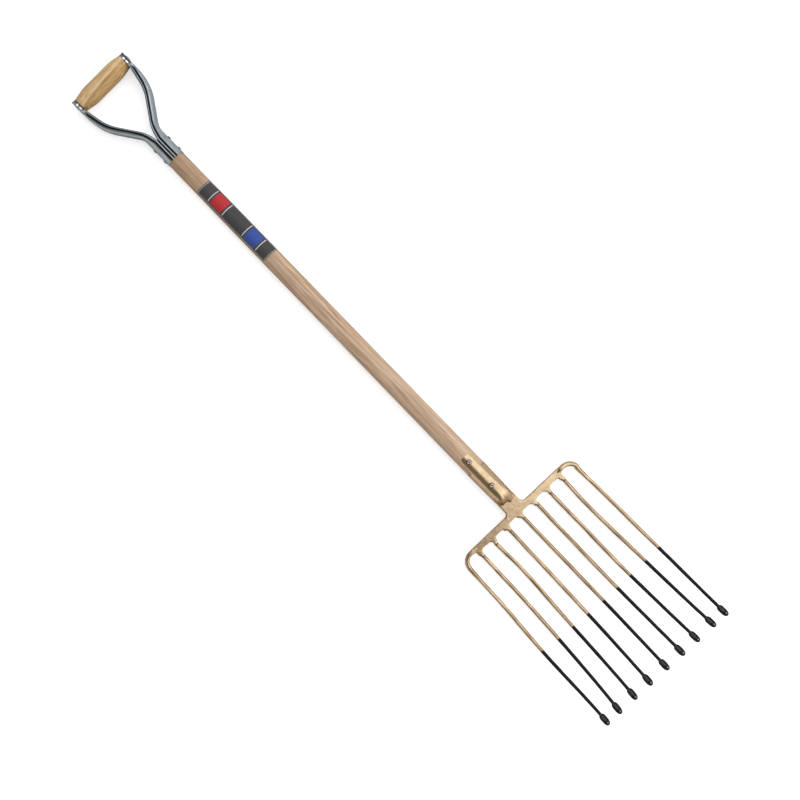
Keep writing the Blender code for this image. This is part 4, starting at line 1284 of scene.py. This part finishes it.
WORLD_LEVEL = 0.15
WORLD_TINT = (1.0, 0.86, 0.66)
WHITE = (1, 1, 1)
FLOOR_HALF = 30
FLOOR_DROP = 0.0002
FLOOR_LIFT = 0.6
MIRROR_LIFT = 0.1
FADE_SCALE = 10
FADE_SHARES = (0.18, 0.45)
CAMERA_PLACE = (0.0455, 0.05323, 1.52054)
CAMERA_TURNS = (-1.891, 1.649, -44.101)
CAMERA_LENS = 36.541
CAMERA_SHIFT = (0.0587, -0.0534)


def make_floor():
    shape = bmesh.new()
    bmesh.ops.create_grid(shape, x_segments=1, y_segments=1, size=FLOOR_HALF)
    floor = add_mesh("studio_floor", shape)
    floor.location.z = -FLOOR_DROP
    n = Finish("studio_floor")
    rays = n.new("LightPath").outputs
    away = n.new("VectorMath", {0: n.place}, operation="LENGTH").outputs["Value"]
    start, end = FADE_SHARES
    level = n.ramp(n.maths("DIVIDE", away, FADE_SCALE), (start, FLOOR_LIFT), (end, 1.0))
    mirrored = n.maths("MULTIPLY", rays["Is Glossy Ray"], MIRROR_LIFT)
    lift = n.maths("MULTIPLY_ADD", rays["Is Camera Ray"], level, mirrored)
    n.set(Base_Color=(0.72, 0.72, 0.72), Roughness=0.9, Specular_IOR_Level=0.1)
    n.set(Emission_Color=WHITE, Emission_Strength=lift)
    floor.data.materials.append(n.material)


def make_lamp(name, place, target, size, strength, colour=WHITE):
    """A soft area lamp that gives the same radiance whatever its size."""
    data = bpy.data.lights.new(name, "AREA")
    data.shape = "RECTANGLE"
    data.size, data.size_y = size
    data.energy = strength * pi * size[0] * size[1]
    data.color = colour
    lamp = add_object(name, data)
    lamp.location = place
    lamp.rotation_euler = (Vector(target) - Vector(place)).to_track_quat("-Z", "Y").to_euler()
    lamp.visible_camera = False


def make_world():
    """White where the camera sees it, and a dim warm light for all else."""
    world = bpy.data.worlds.new("studio")
    bpy.context.scene.world = world
    n = Nodes(world, "Background")
    seen = n.new("LightPath").outputs["Is Camera Ray"]
    n.set(Color=n.mix(seen, WORLD_TINT, WHITE))
    n.set(Strength=n.maths("MULTIPLY_ADD", seen, 1 - WORLD_LEVEL, WORLD_LEVEL))


def make_camera():
    data = bpy.data.cameras.new("camera")
    data.sensor_width = 36
    data.lens = CAMERA_LENS
    data.shift_x, data.shift_y = CAMERA_SHIFT
    viewer = add_object("camera", data)
    viewer.location = CAMERA_PLACE
    viewer.rotation_euler = [radians(a) for a in CAMERA_TURNS]
    bpy.context.scene.camera = viewer
    bpy.context.scene.view_settings.view_transform = "Standard"


make_floor()
make_world()
# The key to the fork's right, a low one beyond it, one at the tines' end and a low one on the left
make_lamp("key", (2.0, -0.5, 2.3), (2.0, -0.5, 0), (4.3, 10.0), 1.62, (0.97, 1.0, 1.06))
make_lamp("side", (3.6, 0.0, 1.0), (0, 0, 1.0), (8.0, 1.6), 0.55)
make_lamp("front", (2.0, -3.4, 1.2), (2.0, 0, 1.2), (5.2, 2.0), 1.1)
make_lamp("fill", (-2.8, 0.0, 0.75), (0, 0, 0.75), (7.0, 1.3), 1.0)
make_camera()
